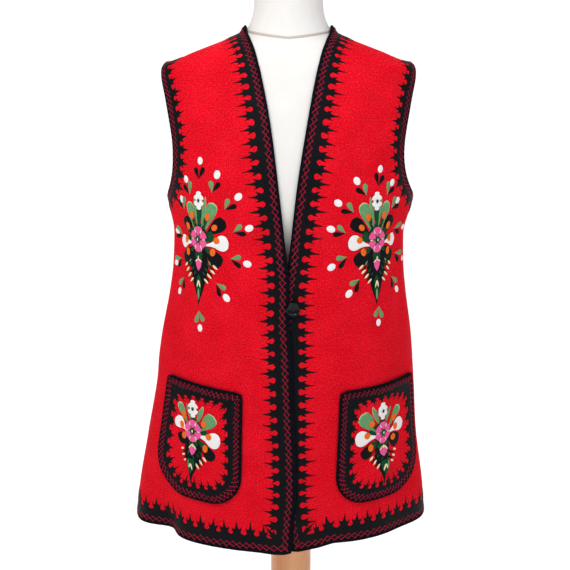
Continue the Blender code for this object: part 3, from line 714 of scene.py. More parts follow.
def lacquered_beech(name, grain_scale, fleck_scale):
    """Turned beech under satin lacquer: straight pale grain with short brown flecks, 1 to 4 mm long."""
    material, tree, shader = new_material(name)
    place = add(tree, "ShaderNodeTexCoord").outputs["Object"]
    along = add(tree, "ShaderNodeMapping", {"Vector": place, "Scale": grain_scale})
    grain = add(
        tree,
        "ShaderNodeTexNoise",
        {"Vector": along.outputs[0], "Scale": 1.0, "Detail": 6.0, "Roughness": 0.6, "Distortion": 0.6},
    )
    spots = add(tree, "ShaderNodeMapping", {"Vector": place, "Scale": fleck_scale})
    flecks = add(tree, "ShaderNodeTexNoise", {"Vector": spots.outputs[0], "Scale": 1.0, "Detail": 1.0})
    colour = add(tree, "ShaderNodeValToRGB", {"Fac": grain.outputs[0]})
    set_ramp(colour, [(0.32, "#DE9558"), (0.68, "#F8BC84")])
    darken = add(
        tree,
        "ShaderNodeMapRange",
        {"Value": flecks.outputs[0], "From Min": 0.62, "From Max": 0.78, "To Max": 0.35},
    )
    flecked = add(
        tree,
        "ShaderNodeMix",
        {0: darken.outputs[0], 6: colour.outputs["Color"], 7: linear("#A8693C")},
        data_type="RGBA",
    )
    tree.links.new(flecked.outputs[2], shader.inputs["Base Color"])
    bump = add(tree, "ShaderNodeBump", {"Height": grain.outputs[0], "Strength": 0.08, "Distance": 0.0004})
    tree.links.new(bump.outputs["Normal"], shader.inputs["Normal"])
    shader.inputs["Roughness"].default_value = 0.42
    shader.inputs["Coat Weight"].default_value = 0.25
    shader.inputs["Coat Roughness"].default_value = 0.3
    return material


def cast_polyester(name):
    """A cast polyester button, black through and through: polished, with a faint cloud in its gloss."""
    material, tree, shader = new_material(name)
    place = add(tree, "ShaderNodeTexCoord").outputs["Object"]
    cloud = add(tree, "ShaderNodeTexNoise", {"Vector": place, "Scale": 700.0, "Detail": 3.0})
    colour = add(
        tree,
        "ShaderNodeMix",
        {0: cloud.outputs[0], 6: linear("#050608"), 7: linear("#111318")},
        data_type="RGBA",
    )
    gloss = add(tree, "ShaderNodeMapRange", {"Value": cloud.outputs[0], "To Min": 0.05, "To Max": 0.12})
    tree.links.new(colour.outputs[2], shader.inputs["Base Color"])
    tree.links.new(gloss.outputs[0], shader.inputs["Roughness"])
    shader.inputs["IOR"].default_value = 1.55
    shader.inputs["Specular IOR Level"].default_value = 0.2
    return material


RED_WOOL = woven_wool("red_woven_wool", "#B80818", "#EA0C22", "#FF2C3E")
BLACK_TAPE = woven_wool("black_wool_braid", "#040609", "#0B0E15", "#1C212B")
YARNS = {
    "black": wool_yarn("black_yarn", "#040506", "#08090E", "#12151C"),
    "crimson": wool_yarn("crimson_yarn", "#640A22", "#A01232", "#C42446"),
    "white": wool_yarn("white_yarn", "#ECE8EA", "#F9F5F6", "#FFFDFD"),
    "pale green": wool_yarn("pale_green_yarn", "#74B47C", "#98D09C", "#BEE6BE"),
    "light green": wool_yarn("light_green_yarn", "#437847", "#5C9560", "#92C894"),
    "dark green": wool_yarn("dark_green_yarn", "#022B18", "#044527", "#12643A"),
    "orange": wool_yarn("orange_yarn", "#D64A04", "#F86C10", "#FF9034"),
    "pink": wool_yarn("pink_yarn", "#DA2E80", "#FA4EA0", "#FF86BC"),
    "cream": wool_yarn("cream_yarn", "#E8CC90", "#FAE2B0", "#FFF4D6"),
}
JERSEY = cotton_jersey("white_cotton_jersey", "#E6E4E1", "#F4F2F0")
SEAM_THREAD = cotton_jersey("taped_neck_seam", "#B8ACA2", "#D6CCC4")


# ---- Meshes ----


def new_piece(name, points, faces, materials, flat=None, which=None):
    """An object from points and faces. flat gives each point's place on the flat cloth or stitch in metres,
    and which the material of each face."""
    mesh = bpy.data.meshes.new(name)
    mesh.from_pydata(np.asarray(points, float).tolist(), [], [list(face) for face in faces])
    for material in materials:
        mesh.materials.append(material)
    if which is not None:
        mesh.polygons.foreach_set("material_index", np.asarray(which, dtype=np.int32))
    if flat is not None:
        corner = np.empty(len(mesh.loops), dtype=np.int32)
        mesh.loops.foreach_get("vertex_index", corner)
        layer = mesh.uv_layers.new(name="Flat")
        layer.data.foreach_set("uv", np.asarray(flat, float)[corner].ravel())
    mesh.shade_smooth()
    mesh.set_sharp_from_angle(angle=radians(60))
    mesh.update()
    piece = bpy.data.objects.new(name, mesh)
    bpy.context.scene.collection.objects.link(piece)
    return piece


def grid_faces(rows, columns, first=0, flip=False):
    """The faces of a grid of points, seen from outside."""
    at = first + np.arange(rows * columns).reshape(rows, columns)
    faces = np.stack([at[:-1, :-1], at[:-1, 1:], at[1:, 1:], at[1:, :-1]], axis=-1).reshape(-1, 4)
    return faces[:, ::-1] if flip else faces


def cloth_wall(name, surface, turns, heights, material, lift=0.0):
    """A wall of cloth over a grid of places: its outside lies lift off the surface."""
    if turns[0, 0] > turns[0, -1]:
        turns, heights = turns[:, ::-1], heights[:, ::-1]
    rows, columns = turns.shape
    outside, out = surface(turns, heights), normal(surface, turns, heights)
    outer = (outside + out * lift).reshape(-1, 3)
    inner = (outside + out * (lift - CLOTH)).reshape(-1, 3)
    under = rows * columns
    faces = grid_faces(rows, columns).tolist() + grid_faces(rows, columns, under, flip=True).tolist()
    at = np.arange(under).reshape(rows, columns)
    rim = [*at[0, :-1], *at[:-1, -1], *at[-1, :0:-1], *at[:0:-1, 0]]
    faces += [(b, a, under + a, under + b) for a, b in zip(rim, rim[1:] + rim[:1])]
    flat = np.stack([girth(turns, heights), heights], axis=-1).reshape(-1, 2)
    return new_piece(name, np.concatenate([outer, inner]), faces, [material], np.concatenate([flat, flat]))


def walked(points):
    """The way along a line of points to each of them."""
    return np.concatenate([[0], np.cumsum(np.linalg.norm(np.diff(points, axis=0), axis=1))])


def edge_frame(surface, turns, heights, closed):
    """Points on an edge, and the direction there that leads away from a panel on its left."""
    edge, out = surface(turns, heights), normal(surface, turns, heights)
    if closed:
        along = np.roll(edge, -1, axis=0) - np.roll(edge, 1, axis=0)
    else:
        along = np.gradient(edge, axis=0)
    along /= np.linalg.norm(along, axis=1, keepdims=True)
    return edge, np.cross(along, out)


def step_over(surface, turns, heights, direction):
    """The turns and heights that lie one step from others in directions along the surface."""
    across, up = slopes(surface, turns, heights)
    aa, bb, ab = (across**2).sum(-1), (up**2).sum(-1), (across * up).sum(-1)
    da, db = (direction * across).sum(-1), (direction * up).sum(-1)
    det = aa * bb - ab**2
    return turns + (da * bb - db * ab) / det, heights + (db * aa - da * ab) / det


# The braid's face before its fold: reach from where it begins, and rise over BINDING_OUT
BRAID_FACE = [(SEAM, -0.0004), (0.0012, 0.0), (0.0035, 0.0001)]
BRAID_BEND = np.linspace(pi / 2, -pi / 2, 9)


def folded_tape(name, surface, path, material, lift=0.0, closed=False, ends=(False, False)):
    """A braid folded round a panel's edge. The path has the panel on its left, seen from outside."""
    turns, heights = np.array(path).T
    edge, aside = edge_frame(surface, turns, heights, closed)
    radius = (BINDING_OUT + CLOTH + BINDING_IN) / 2
    profile = [(reach, BINDING_OUT + rise) for reach, rise in BRAID_FACE]
    for a in BRAID_BEND:
        profile.append((BINDING_WIDTH - radius * (1 - np.cos(a)), BINDING_OUT - radius * (1 - np.sin(a))))
    profile += [(SEAM, -CLOTH - BINDING_IN)]
    rings = []
    for reach, rise in profile:
        at_turn, at_height = step_over(surface, turns, heights, aside * reach)
        for k, on_seam in ((0, ends[0]), (-1, ends[1])):
            if on_seam and not closed:
                up = slopes(surface, turns[k], heights[k])[1]
                at_turn[k] = turns[k]
                way = np.sign(at_height[k] - heights[k])
                at_height[k] = heights[k] + way * reach / np.linalg.norm(up)
        rings.append(surface(at_turn, at_height) + normal(surface, at_turn, at_height) * (lift + rise))
    count, sides = len(turns), len(profile)
    points = np.stack(rings, axis=1).reshape(-1, 3)
    faces = []
    for k in range(count if closed else count - 1):
        here, there = k * sides, (k + 1) % count * sides
        for s in range(sides):
            n = (s + 1) % sides
            faces.append((here + s, there + s, there + n, here + n))
    if not closed:
        faces += [list(range(sides)), [(count - 1) * sides + s for s in range(sides)][::-1]]
    places = np.broadcast_arrays(walked(edge)[:, None], np.array(profile)[None, :, 0])
    flat = np.stack(places, axis=-1).reshape(-1, 2)
    return new_piece(name, points, faces, [material], flat)


# ---- Ways to lay flat needlework on the cloth: each takes (along, inward, rise) in metres ----

LAY_STEP = 0.002  # from row to row of a table of places
LAY_OUT = 3  # rows that it holds outside the edge


def on_rows(surface, turns, heights, walk, lift):
    """Lays needlework by a table of places: rows inward from an edge, columns along it."""

    def lay(flat):
        along, inward, rise = flat.T
        column = np.interp(along, walk, np.arange(len(walk)))
        row = inward / LAY_STEP + LAY_OUT
        turn, height = between(turns, row, column), between(heights, row, column)
        return surface(turn, height) + normal(surface, turn, height) * (rise + lift)[:, None]

    return lay


def beside_edge(surface, path, reach, panel_on_left=True, closed=False, lift=0.0):
    """Beside a panel's edge, along a path of places: (the way to lay, the edge's length)."""
    turns, heights = np.array(path).T
    if closed:
        turns, heights = np.append(turns, turns[0]), np.append(heights, heights[0])
    edge, aside = edge_frame(surface, turns, heights, False)
    if closed:
        aside[0] = aside[-1] = (aside[0] + aside[-1]) / np.linalg.norm(aside[0] + aside[-1])
    inward = -aside if panel_on_left else aside
    rows = [step_over(surface, turns, heights, -inward * LAY_STEP * k) for k in range(LAY_OUT, 0, -1)]
    rows.append((turns, heights))
    for _ in range(int(reach / LAY_STEP) + 1):
        turns, heights = step_over(surface, turns, heights, inward * LAY_STEP)
        out = normal(surface, turns, heights)
        inward = inward - (inward * out).sum(-1, keepdims=True) * out
        inward /= np.linalg.norm(inward, axis=-1, keepdims=True)
        rows.append((turns, heights))
    table = np.array(rows)
    walk = walked(edge)
    return on_rows(surface, table[:, 0], table[:, 1], walk, lift), walk[-1]


def beside_pocket(side, outline, reach, lift):
    """Beside a pocket's edge: each round is the pocket's outline, drawn in towards its middle."""
    outline = np.concatenate([outline, outline[:1]])
    low, high = outline.min(axis=0), outline.max(axis=0)
    middle, half = (low + high) / 2, (high - low) / 2
    rows = []
    for depth in np.arange(-LAY_OUT, int(reach / LAY_STEP) + 2) * LAY_STEP:
        drawn = middle + (outline - middle) * (1 - depth / half)
        rows.append(pocket_place(side, drawn[:, 0], drawn[:, 1]))
    table = np.array(rows)
    walk = walked(outline)
    return on_rows(SURFACES[side], table[:, 0], table[:, 1], walk, lift), walk[-1]


def round_axis(side, axis_x, middle_height, lift=0.0):
    """Round a motif's middle: along is towards the front edge, and inward is up."""

    def lay(flat):
        along, up, rise = flat.T
        height = middle_height + up
        start = girth(turn_at_x(axis_x, height), height)
        turn = turn_at_girth(start - SIDES[side] * along, height)
        surface = SURFACES[side]
        return surface(turn, height) + normal(surface, turn, height) * (rise + lift)[:, None]

    return lay


# ---- Needlework, flat: x along, y inward from the edge, or across and up, in metres ----


def sewn(name, lay, points, faces, flat, yarns, which=None):
    """Flat needlework laid on the cloth, with its faces outwards."""
    points = lay(points)
    faces = np.asarray(faces)
    a, b, c = points[faces[:, 0]], points[faces[:, 1]], points[faces[:, 2]]
    outward = (a + b + c) * np.array([1, 1, 0])
    if (np.cross(b - a, c - a) * outward).sum() < 0:
        faces = faces[:, ::-1]
    return new_piece(name, points, faces, [YARNS[yarn] for yarn in yarns], flat, which)


FULL_DOME = 0.002  # the half width from which a bundle is domed to its full rise
RIM_DROP = 0.00015  # how far its rims lie under the cloth
LAYER_STEP = 0.0006
LEAST_HALF_WIDTH = 0.00005
STRAND_SHIFT = np.array([0.0007, 0.0013])  # moves the strands on for each point, so no bundles look alike


class Needlework:
    """Flat bundles of stitches, gathered with their yarns."""

    def __init__(self):
        self.points = []
        self.faces = []
        self.flat = []
        self.which = []
        self.yarns = []

    def bundle(self, yarn, line, rise=0.0009, rows=12, across=6, layer=0):
        """Strands along a line of (x, y, half width) in mm: domed, with their rims under the cloth."""
        line = np.array(line, float) / 1000
        table = [(share, *row) for share, row in zip(np.linspace(0, 1, len(line)), line)]
        at = np.linspace(0, 1, rows + 1)
        centre = np.stack([smooth(at, table, 1), smooth(at, table, 2)], axis=1)
        width = np.maximum(smooth(at, table, 3), LEAST_HALF_WIDTH)
        way = np.gradient(centre, axis=0)
        way /= np.linalg.norm(way, axis=1, keepdims=True)
        aside = np.stack([-way[:, 1], way[:, 0]], axis=1)
        spread = np.linspace(1, -1, across + 1)
        xy = centre[:, None] + aside[:, None] * (width[:, None] * spread)[..., None]
        dome = np.minimum(1, width / FULL_DOME)[:, None] * np.sqrt(np.maximum(0, 1 - spread**2))
        z = rise * dome - RIM_DROP + layer * LAYER_STEP
        first = sum(len(points) for points in self.points)
        self.points.append(np.concatenate([xy, z[..., None]], axis=2).reshape(-1, 3))
        flat = np.stack(np.broadcast_arrays(walked(centre)[:, None], width[:, None] * spread), axis=-1)
        self.flat.append(flat.reshape(-1, 2) + first * STRAND_SHIFT)
        faces = grid_faces(rows + 1, across + 1, first)
        self.faces.append(faces)
        if yarn not in self.yarns:
            self.yarns.append(yarn)
        self.which += [self.yarns.index(yarn)] * len(faces)

    def flat_mesh(self):
        """(points, faces, places on the stitch)."""
        return np.concatenate(self.points), np.concatenate(self.faces), np.concatenate(self.flat)

    def sewn(self, name, lay):
        return sewn(name, lay, *self.flat_mesh(), self.yarns, self.which)


# A border tooth, in mm: x along the edge, y inward from the bottom of the gaps, and half width. It is a
# trunk with a long tip and two barbs.
TOOTH_PITCH = 0.021
TOOTH_REACH = 0.028
TRUNK = [(0, -3.0, 10.6), (0, -0.3, 10.0), (0, 0.5, 8.7), (0, 1.5, 7.5), (0, 3.2, 6.5), (0, 5.5, 5.9)]
TRUNK += [(0, 8.0, 5.6), (0, 10.0, 4.7), (0, 12.0, 3.4), (0, 14.5, 2.3), (0, 18.0, 1.6), (0, 22.0, 1.1)]
TRUNK += [(0, 25.5, 0.7), (0, 28.0, 0.2)]
BARB = [(3.2, 4.6, 1.8), (4.7, 7.4, 2.5), (6.0, 10.2, 1.7), (7.1, 12.6, 0.9), (8.0, 15.2, 0.2)]
# A herringbone crossing, the same way: this leg and its mirror image over it
CROSSING_PITCH = 0.0112
CROSSING_LEG = [(-7.2, -0.3, 0.3), (-5.4, 0.8, 0.5), (0.0, 4.7, 0.55), (5.4, 8.6, 0.5), (7.2, 9.7, 0.3)]


def tooth():
    """One tooth of a border."""
    work = Needlework()
    work.bundle("black", TRUNK, rise=0.0010, rows=18)
    for side in (-1, 1):
        work.bundle("black", [(side * x, y, w) for x, y, w in BARB], rise=0.0008, rows=7, across=4)
    return work


def crossing():
    """One crossing of a herringbone row, which lies on a border's band."""
    work = Needlework()
    for side, layer in ((-1, 1), (1, 2)):
        leg = [(side * x, y, w) for x, y, w in CROSSING_LEG]
        work.bundle("crimson", leg, rise=0.0009, rows=6, across=4, layer=layer)
    return work


STITCH_INPUTS = {
    "Stitch": "Object",
    "Yarn": "Material",
    "Count": "Int",
    "Pitch": "Vector",
    "Drift": "Vector",
    "Turn": "Float",
    "Size Drift": "Vector",
    "Seed": "Int",
}


def stitch_row_tree():
    """Geometry nodes that repeat one stitch in a row, each a little out of place, turned and sized."""
    tree = bpy.data.node_groups.new("stitch_row", "GeometryNodeTree")
    face = tree.interface
    face.new_socket("Geometry", in_out="OUTPUT", socket_type="NodeSocketGeometry")
    face.new_socket("Geometry", in_out="INPUT", socket_type="NodeSocketGeometry")
    for name, kind in STITCH_INPUTS.items():
        face.new_socket(name, in_out="INPUT", socket_type=f"NodeSocket{kind}")
    given = add(tree, "NodeGroupInput").outputs
    line = add(tree, "GeometryNodeMeshLine", {"Count": given["Count"], "Offset": given["Pitch"]})
    random = {"Min": (-1.0, -1.0, -1.0), "Max": (1.0, 1.0, 1.0), "Seed": given["Seed"]}
    chance = add(tree, "FunctionNodeRandomValue", random, data_type="FLOAT_VECTOR")
    drift = add(
        tree,
        "ShaderNodeVectorMath",
        {0: chance.outputs[0], 1: given["Drift"]},
        operation="MULTIPLY",
    )
    points = add(tree, "GeometryNodeSetPosition", {"Geometry": line.outputs[0], "Offset": drift.outputs[0]})
    turn = add(
        tree,
        "FunctionNodeRandomValue",
        {2: -1.0, 3: 1.0, "Seed": given["Seed"]},
        data_type="FLOAT",
    )
    angle = add(tree, "ShaderNodeMath", {0: turn.outputs[1], 1: given["Turn"]}, operation="MULTIPLY")
    rotation = add(tree, "ShaderNodeCombineXYZ", {"Z": angle.outputs[0]})
    size = add(
        tree,
        "ShaderNodeVectorMath",
        {0: chance.outputs[0], 1: given["Size Drift"], 2: (1.0, 1.0, 1.0)},
        operation="MULTIPLY_ADD",
    )
    stitch = add(tree, "GeometryNodeObjectInfo", {"Object": given["Stitch"]})
    row = add(
        tree,
        "GeometryNodeInstanceOnPoints",
        {
            "Points": points.outputs[0],
            "Instance": stitch.outputs["Geometry"],
            "Rotation": rotation.outputs[0],
            "Scale": size.outputs[0],
        },
    )
    solid = add(tree, "GeometryNodeRealizeInstances", {"Geometry": row.outputs[0]})
    dyed = add(tree, "GeometryNodeSetMaterial", {"Geometry": solid.outputs[0], "Material": given["Yarn"]})
    add(tree, "NodeGroupOutput", {"Geometry": dyed.outputs[0]})
    return tree


def stitch_row(stitch, **values):
    """A flat row of one stitch: (points, faces, places on the stitch)."""
    points, faces, flat = stitch.flat_mesh()
    yarn = YARNS[stitch.yarns[0]]
    model = new_piece("one_stitch", points, faces, [yarn], flat)
    holder = new_piece("stitch_holder", [(0, 0, 0)], [], [])
    modifier = holder.modifiers.new("row", "NODES")
    modifier.node_group = STITCH_ROW
    values |= {"Stitch": model, "Yarn": yarn}
    for socket in STITCH_ROW.interface.items_tree:
        if socket.in_out == "INPUT" and socket.name in values:
            modifier[socket.identifier] = values[socket.name]
    evaluated = holder.evaluated_get(bpy.context.evaluated_depsgraph_get())
    mesh = bpy.data.meshes.new_from_object(evaluated)
    points = np.empty(len(mesh.vertices) * 3)
    mesh.vertices.foreach_get("co", points)
    corners = np.empty(len(mesh.loops), dtype=np.int32)
    mesh.loops.foreach_get("vertex_index", corners)
    places = np.empty(len(mesh.loops) * 2)
    mesh.uv_layers["Flat"].data.foreach_get("uv", places)
    flat = np.empty((len(mesh.vertices), 2))
    flat[corners] = places.reshape(-1, 2)
    bpy.data.meshes.remove(mesh)
    for used in (holder, model):
        bpy.data.objects.remove(used)
    return points.reshape(-1, 3), corners.reshape(-1, 4), flat


STITCH_ROW = stitch_row_tree()


# ---- Cloth and tape ----


def belongs(piece, slot=None, *nodes):
    """The piece rides with the rest and stands for the nodes, which are hidden. The slot is not used."""
    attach(piece, "root")
    if nodes:
        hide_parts(*nodes)
    return piece


def rim_of(turns, heights):
    """The places round a grid, from its first row's first column along that row."""
    rows, columns = turns.shape
    at = [(0, c) for c in range(columns)]
    at += [(r, columns - 1) for r in range(1, rows)]
    at += [(rows - 1, c) for c in range(columns - 2, -1, -1)]
    at += [(r, 0) for r in range(rows - 2, 0, -1)]
    return [(turns[place], heights[place]) for place in at]


def armhole_path(side):
    """The places round an armhole, from the underarm up the front and down the back."""
    front = even_rows(front_upper(SIDES[side], FRONT_EDGES[side]), UPPER_ROWS)
    back = even_rows(back_upper, UPPER_ROWS)
    top = shoulder_end_height()
    path = []
    for share in front:
        height = mix(UNDERARM, top, share)
        path.append((SIDES[side] * (pi / 2 - float(armhole_angle(height, "front"))), height))
    for share in back[-2:0:-1]:
        height = mix(UNDERARM, top, share)
        path.append((SIDES[side] * (pi / 2 + float(armhole_angle(height, "back"))), height))
    return path[::-1] if side == "left" else path


trims = {"front_left": [], "front_right": [], "back": [], "pocket_left": [], "pocket_right": []}


def trim(panel, piece, slot=None, *nodes):
    """A piece that is sewn to a panel."""
    belongs(piece, slot, *nodes)
    trims[panel].append(piece)


front_grids = {}
for side in SIDES:
    surface = SURFACES[side]
    turns, heights = front_grid(SIDES[side], HEMS[side], FRONT_EDGES[side])
    front_grids[side] = turns, heights
    panel = f"front_{side}"
    wall = cloth_wall(f"{panel}_wool", surface, turns, heights, RED_WOOL)
    belongs(wall, "red_wool", panel)
    path = [(turns[r, 0], heights[r, 0]) for r in range(len(turns) - 1, 0, -1)]
    path += [(turns[0, c], heights[0, c]) for c in range(turns.shape[1])]
    if side == "left":
        path = path[::-1]
    tape = folded_tape(f"{panel}_tape", surface, path, BLACK_TAPE, ends=(True, True))
    trim(panel, tape, "black_wool_tape", f"binding_{panel}")
    hole = folded_tape(f"armhole_{side}_tape", vest, armhole_path(side), BLACK_TAPE, closed=True)
    trim(panel, hole, "black_wool_tape", f"binding_armhole_{side}")

back_turns, back_heights = back_grid()
wall = cloth_wall("back_wool", vest, back_turns, back_heights, RED_WOOL)
belongs(wall, "red_wool", "back")
back_hem = list(zip(back_turns[0], back_heights[0]))
tape = folded_tape("back_hem_tape", vest, back_hem, BLACK_TAPE, ends=(True, True))
trim("back", tape, "black_wool_tape", "binding_back_hem")
first = round(BACK_COLUMNS * BACK_SHOULDER_SHARE / 2)
back_neck = list(zip(back_turns[-1], back_heights[-1]))[first : BACK_COLUMNS + 1 - first]
tape = folded_tape("back_neck_tape", vest, back_neck[::-1], BLACK_TAPE, ends=(True, True))
trim("back", tape, "black_wool_tape", "binding_back_neck")

POCKET_RISE = POCKET_LIFT + CLOTH
for side in SIDES:
    turns, heights = pocket_grid(side)
    panel = f"pocket_{side}"
    wall = cloth_wall(f"{panel}_wool", SURFACES[side], turns, heights, RED_WOOL, lift=POCKET_RISE)
    belongs(wall, "red_wool", panel)
    path = rim_of(turns, heights)
    if side == "left":
        path = path[::-1]
    tape = folded_tape(f"{panel}_tape", SURFACES[side], path, BLACK_TAPE, lift=POCKET_RISE, closed=True)
    trim(panel, tape, "black_wool_tape", f"binding_{panel}")

# ---- Borders: a solid band along each edge, teeth inside it, and a herringbone row on the band ----

# The band across: share of its depth, an inset from there in metres, and rise
BAND_PROFILE = [(0.0, -0.0002, 0.0003), (0.0, 0.0010, 0.0005), (0.17, 0.0, 0.0005), (0.33, 0.0, 0.0005)]
BAND_PROFILE += [(0.5, 0.0, 0.0005), (0.67, 0.0, 0.0005), (0.84, 0.0, 0.0005), (1.0, -0.0008, 0.0005)]
BAND_PROFILE += [(1.0, -0.0001, 0.0002), (1.0, 0.0003, -0.0002)]

# Each border, from one end of its edge to the other: share of the way, then in mm the distance between
# teeth, the depths that the gaps and the tips reach from the edge, how far the herringbone row is moved
# inward, and the distance between its crossings
FRONT_BORDERS = {
    "left": [
        (0.00, 21.3, 20.5, 44.5, 0.0, 11.2),
        (0.36, 21.3, 19.5, 44.5, 0.0, 11.2),
        (0.47, 21.3, 15.5, 42.5, -1.5, 11.2),
        (0.56, 21.3, 13.3, 42.0, -2.6, 11.2),
        (0.66, 21.3, 15.0, 43.5, -3.4, 11.2),
        (0.74, 21.3, 17.0, 45.0, -3.6, 11.2),
        (0.84, 18.0, 13.5, 40.0, -3.4, 9.5),
        (0.90, 17.0, 12.7, 38.0, -3.0, 8.9),
        (1.00, 14.0, 11.5, 36.0, -3.0, 7.4),
    ],
    "right": [
        (0.00, 21.3, 17.5, 43.5, -1.0, 11.2),
        (0.06, 21.3, 17.0, 43.5, -2.0, 11.2),
        (0.12, 21.3, 15.5, 42.0, -8.0, 11.2),
        (0.42, 21.3, 14.0, 42.0, -8.0, 11.2),
        (0.50, 21.3, 12.5, 41.0, -4.2, 11.2),
        (0.58, 21.3, 13.5, 42.0, -3.6, 11.2),
        (0.66, 21.3, 15.0, 43.5, -3.0, 11.2),
        (0.74, 21.3, 16.0, 44.0, -3.0, 11.2),
        (0.84, 18.0, 13.5, 40.0, -3.0, 9.5),
        (0.90, 17.0, 12.7, 38.0, -3.0, 8.9),
        (1.00, 14.0, 11.5, 36.0, -3.0, 7.4),
    ],
}
HEM_BORDER = [(0.0, 21.3, 20.5, 43.5, -1.4, 11.2), (1.0, 21.3, 20.5, 43.5, -1.4, 11.2)]
BACK_NECK_BORDER = [
    (0.0, 14.0, 11.5, 36.0, -3.0, 7.4),
    (0.5, 16.0, 12.0, 34.0, -3.0, 8.4),
    (1.0, 14.0, 11.5, 36.0, -3.0, 7.4),
]
ARMHOLE_BORDER = [(0.0, 17.0, 14.0, 31.0, -2.0, 8.4), (1.0, 17.0, 14.0, 31.0, -2.0, 8.4)]
# From the foot's inner end: the foot, the outer side, the top and the inner side
POCKET_BORDER = [
    (0.00, 19.0, 14.5, 31.0, -3.4, 8.3),
    (0.06, 19.0, 12.0, 31.0, -3.4, 8.3),
    (0.16, 20.0, 10.5, 30.0, -3.4, 8.3),
    (0.24, 28.0, 12.0, 27.0, -3.4, 8.3),
    (0.38, 28.0, 12.5, 26.0, -3.4, 8.3),
    (0.44, 22.0, 20.0, 31.0, -3.4, 8.3),
    (0.52, 21.0, 13.5, 26.0, -3.4, 8.3),
    (0.62, 21.0, 13.5, 26.5, -3.4, 8.3),
    (0.67, 24.0, 19.0, 32.0, -3.4, 8.3),
    (0.76, 27.0, 15.5, 28.0, -3.4, 8.3),
    (0.88, 25.0, 14.5, 28.0, -3.4, 8.3),
    (1.00, 19.0, 14.5, 31.0, -3.4, 8.3),
]
# How far each stitch is out of place, turned and out of size, at most
ROW_CHANCE = {"Drift": (0.0008, 0.0004, 0.0), "Turn": 0.09, "Size Drift": (0.07, 0.09, 0.0), "Seed": 7}
BAND_STEP = 0.004
BORDER_REACH = 0.052
POCKET_BORDER_REACH = 0.034
BRAID_STEP = 0.0008  # how far the braid stands over the band
BRAID_CLIMB = (0.0014, -0.0002)  # from where to where, inward, the herringbone row climbs it


def warped(row, start, end, pitch_at, step):
    """Spreads a flat row along an edge: (count of stitches, function from row to edge)."""
    along = np.linspace(start, end, 500)
    stitches = np.concatenate([[0], np.cumsum(np.diff(along) / pitch_at((along[1:] + along[:-1]) / 2))])
    count = max(1, round(stitches[-1]))
    stitches *= count / stitches[-1]
    points, faces, flat = stitch_row(row, Count=count, Pitch=(step, 0.0, 0.0), **ROW_CHANCE)
    points[:, 0] = np.interp(points[:, 0] / step + 0.5, stitches, along)
    return points, faces, flat


def border(panel, name, laid, table, ends=(0.0, 0.0)):
    """A border along an edge. ends says how far from each end the teeth stop."""
    lay, length = laid

    def at(along, column):
        return smooth(along / length, table, column) / 1000

    along = np.linspace(0.0, length, int(length / BAND_STEP) + 2)
    share, inset, rise = np.array(BAND_PROFILE).T
    inward = at(along, 2)[:, None] * share + inset
    band = np.stack(np.broadcast_arrays(along[:, None], inward, rise), axis=-1)
    flat = np.stack([band[..., 1], band[..., 0]], axis=-1).reshape(-1, 2)
    faces = grid_faces(*band.shape[:2], flip=True)
    points, more, places = warped(TOOTH, ends[0], length - ends[1], lambda x: at(x, 1), TOOTH_PITCH)
    gaps, tips = at(points[:, 0], 2), at(points[:, 0], 3)
    points[:, 1] = gaps + points[:, 1] * (tips - gaps) / TOOTH_REACH
    points, flat = np.concatenate([band.reshape(-1, 3), points]), np.concatenate([flat, places])
    faces = np.concatenate([faces, more + band.shape[0] * band.shape[1]])
    trim(panel, sewn(f"{name}_border", lay, points, faces, flat, ["black"]), "black_wool_tape")

    points, faces, flat = warped(CROSSING, 0.0, length, lambda x: at(x, 5), CROSSING_PITCH)
    points[:, 1] += at(points[:, 0], 4)
    points[:, 2] += BRAID_STEP * ease(points[:, 1], *BRAID_CLIMB)
    trim(panel, sewn(f"{name}_herringbone", lay, points, faces, flat, ["crimson"]))


TOOTH = tooth()
CROSSING = crossing()
CORNER = 0.031  # where the teeth stop before a corner
HEM_LIFT = 0.0001  # how far a hem's border lies over the front edge's in the corner
# The tooth in a corner, in mm: in from each of its two edges, and half width
CORNER_TRUNK = [(15, 15, 9.0), (19, 19, 6.5), (22, 22, 4.4), (26, 26, 3.6), (29, 29, 3.2), (33, 33, 1.6)]
CORNER_TRUNK += [(42, 42, 0.2)]
CORNER_BARB = [(21.5, 24.5, 2.2), (23.5, 29.0, 1.6), (25.0, 33.0, 0.9), (26.0, 38.0, 0.2)]
for side in SIDES:
    surface = SURFACES[side]
    turns, heights = front_grids[side]
    edge = list(zip(turns[:, 0], heights[:, 0]))
    laid = beside_edge(surface, edge, BORDER_REACH, side == "left")
    border(f"front_{side}", f"front_{side}_edge", laid, FRONT_BORDERS[side], (CORNER, 0.0))
    corner = Needlework()
    corner.bundle("black", CORNER_TRUNK, rows=14)
    corner.bundle("black", CORNER_BARB, rows=8, across=4)
    corner.bundle("black", [(y, x, width) for x, y, width in CORNER_BARB], rows=8, across=4)
    trim(f"front_{side}", corner.sewn(f"front_{side}_corner_tooth", laid[0]), "black_wool_tape")
    hem = list(zip(turns[0], heights[0]))
    laid = beside_edge(surface, hem, BORDER_REACH, side == "right", lift=HEM_LIFT)
    border(f"front_{side}", f"front_{side}_hem", laid, HEM_BORDER, (CORNER, 0.0))
    laid = beside_edge(vest, armhole_path(side), BORDER_REACH, closed=True)
    border(f"front_{side}", f"armhole_{side}", laid, ARMHOLE_BORDER)
border("back", "back_hem", beside_edge(vest, back_hem, BORDER_REACH), HEM_BORDER)
laid = beside_edge(vest, back_neck, BORDER_REACH, panel_on_left=False)
border("back", "back_neck", laid, BACK_NECK_BORDER)


def pocket_outline(side):
    """A pocket's edge, flat: across from its inner top corner and up from its foot."""
    up, start, end = pocket_rows(side)
    across = mix(start[:, None], end[:, None], np.linspace(0, 1, POCKET_COLUMNS + 1)[None, :])
    return np.array(rim_of(across, np.broadcast_to(up[:, None], across.shape)))


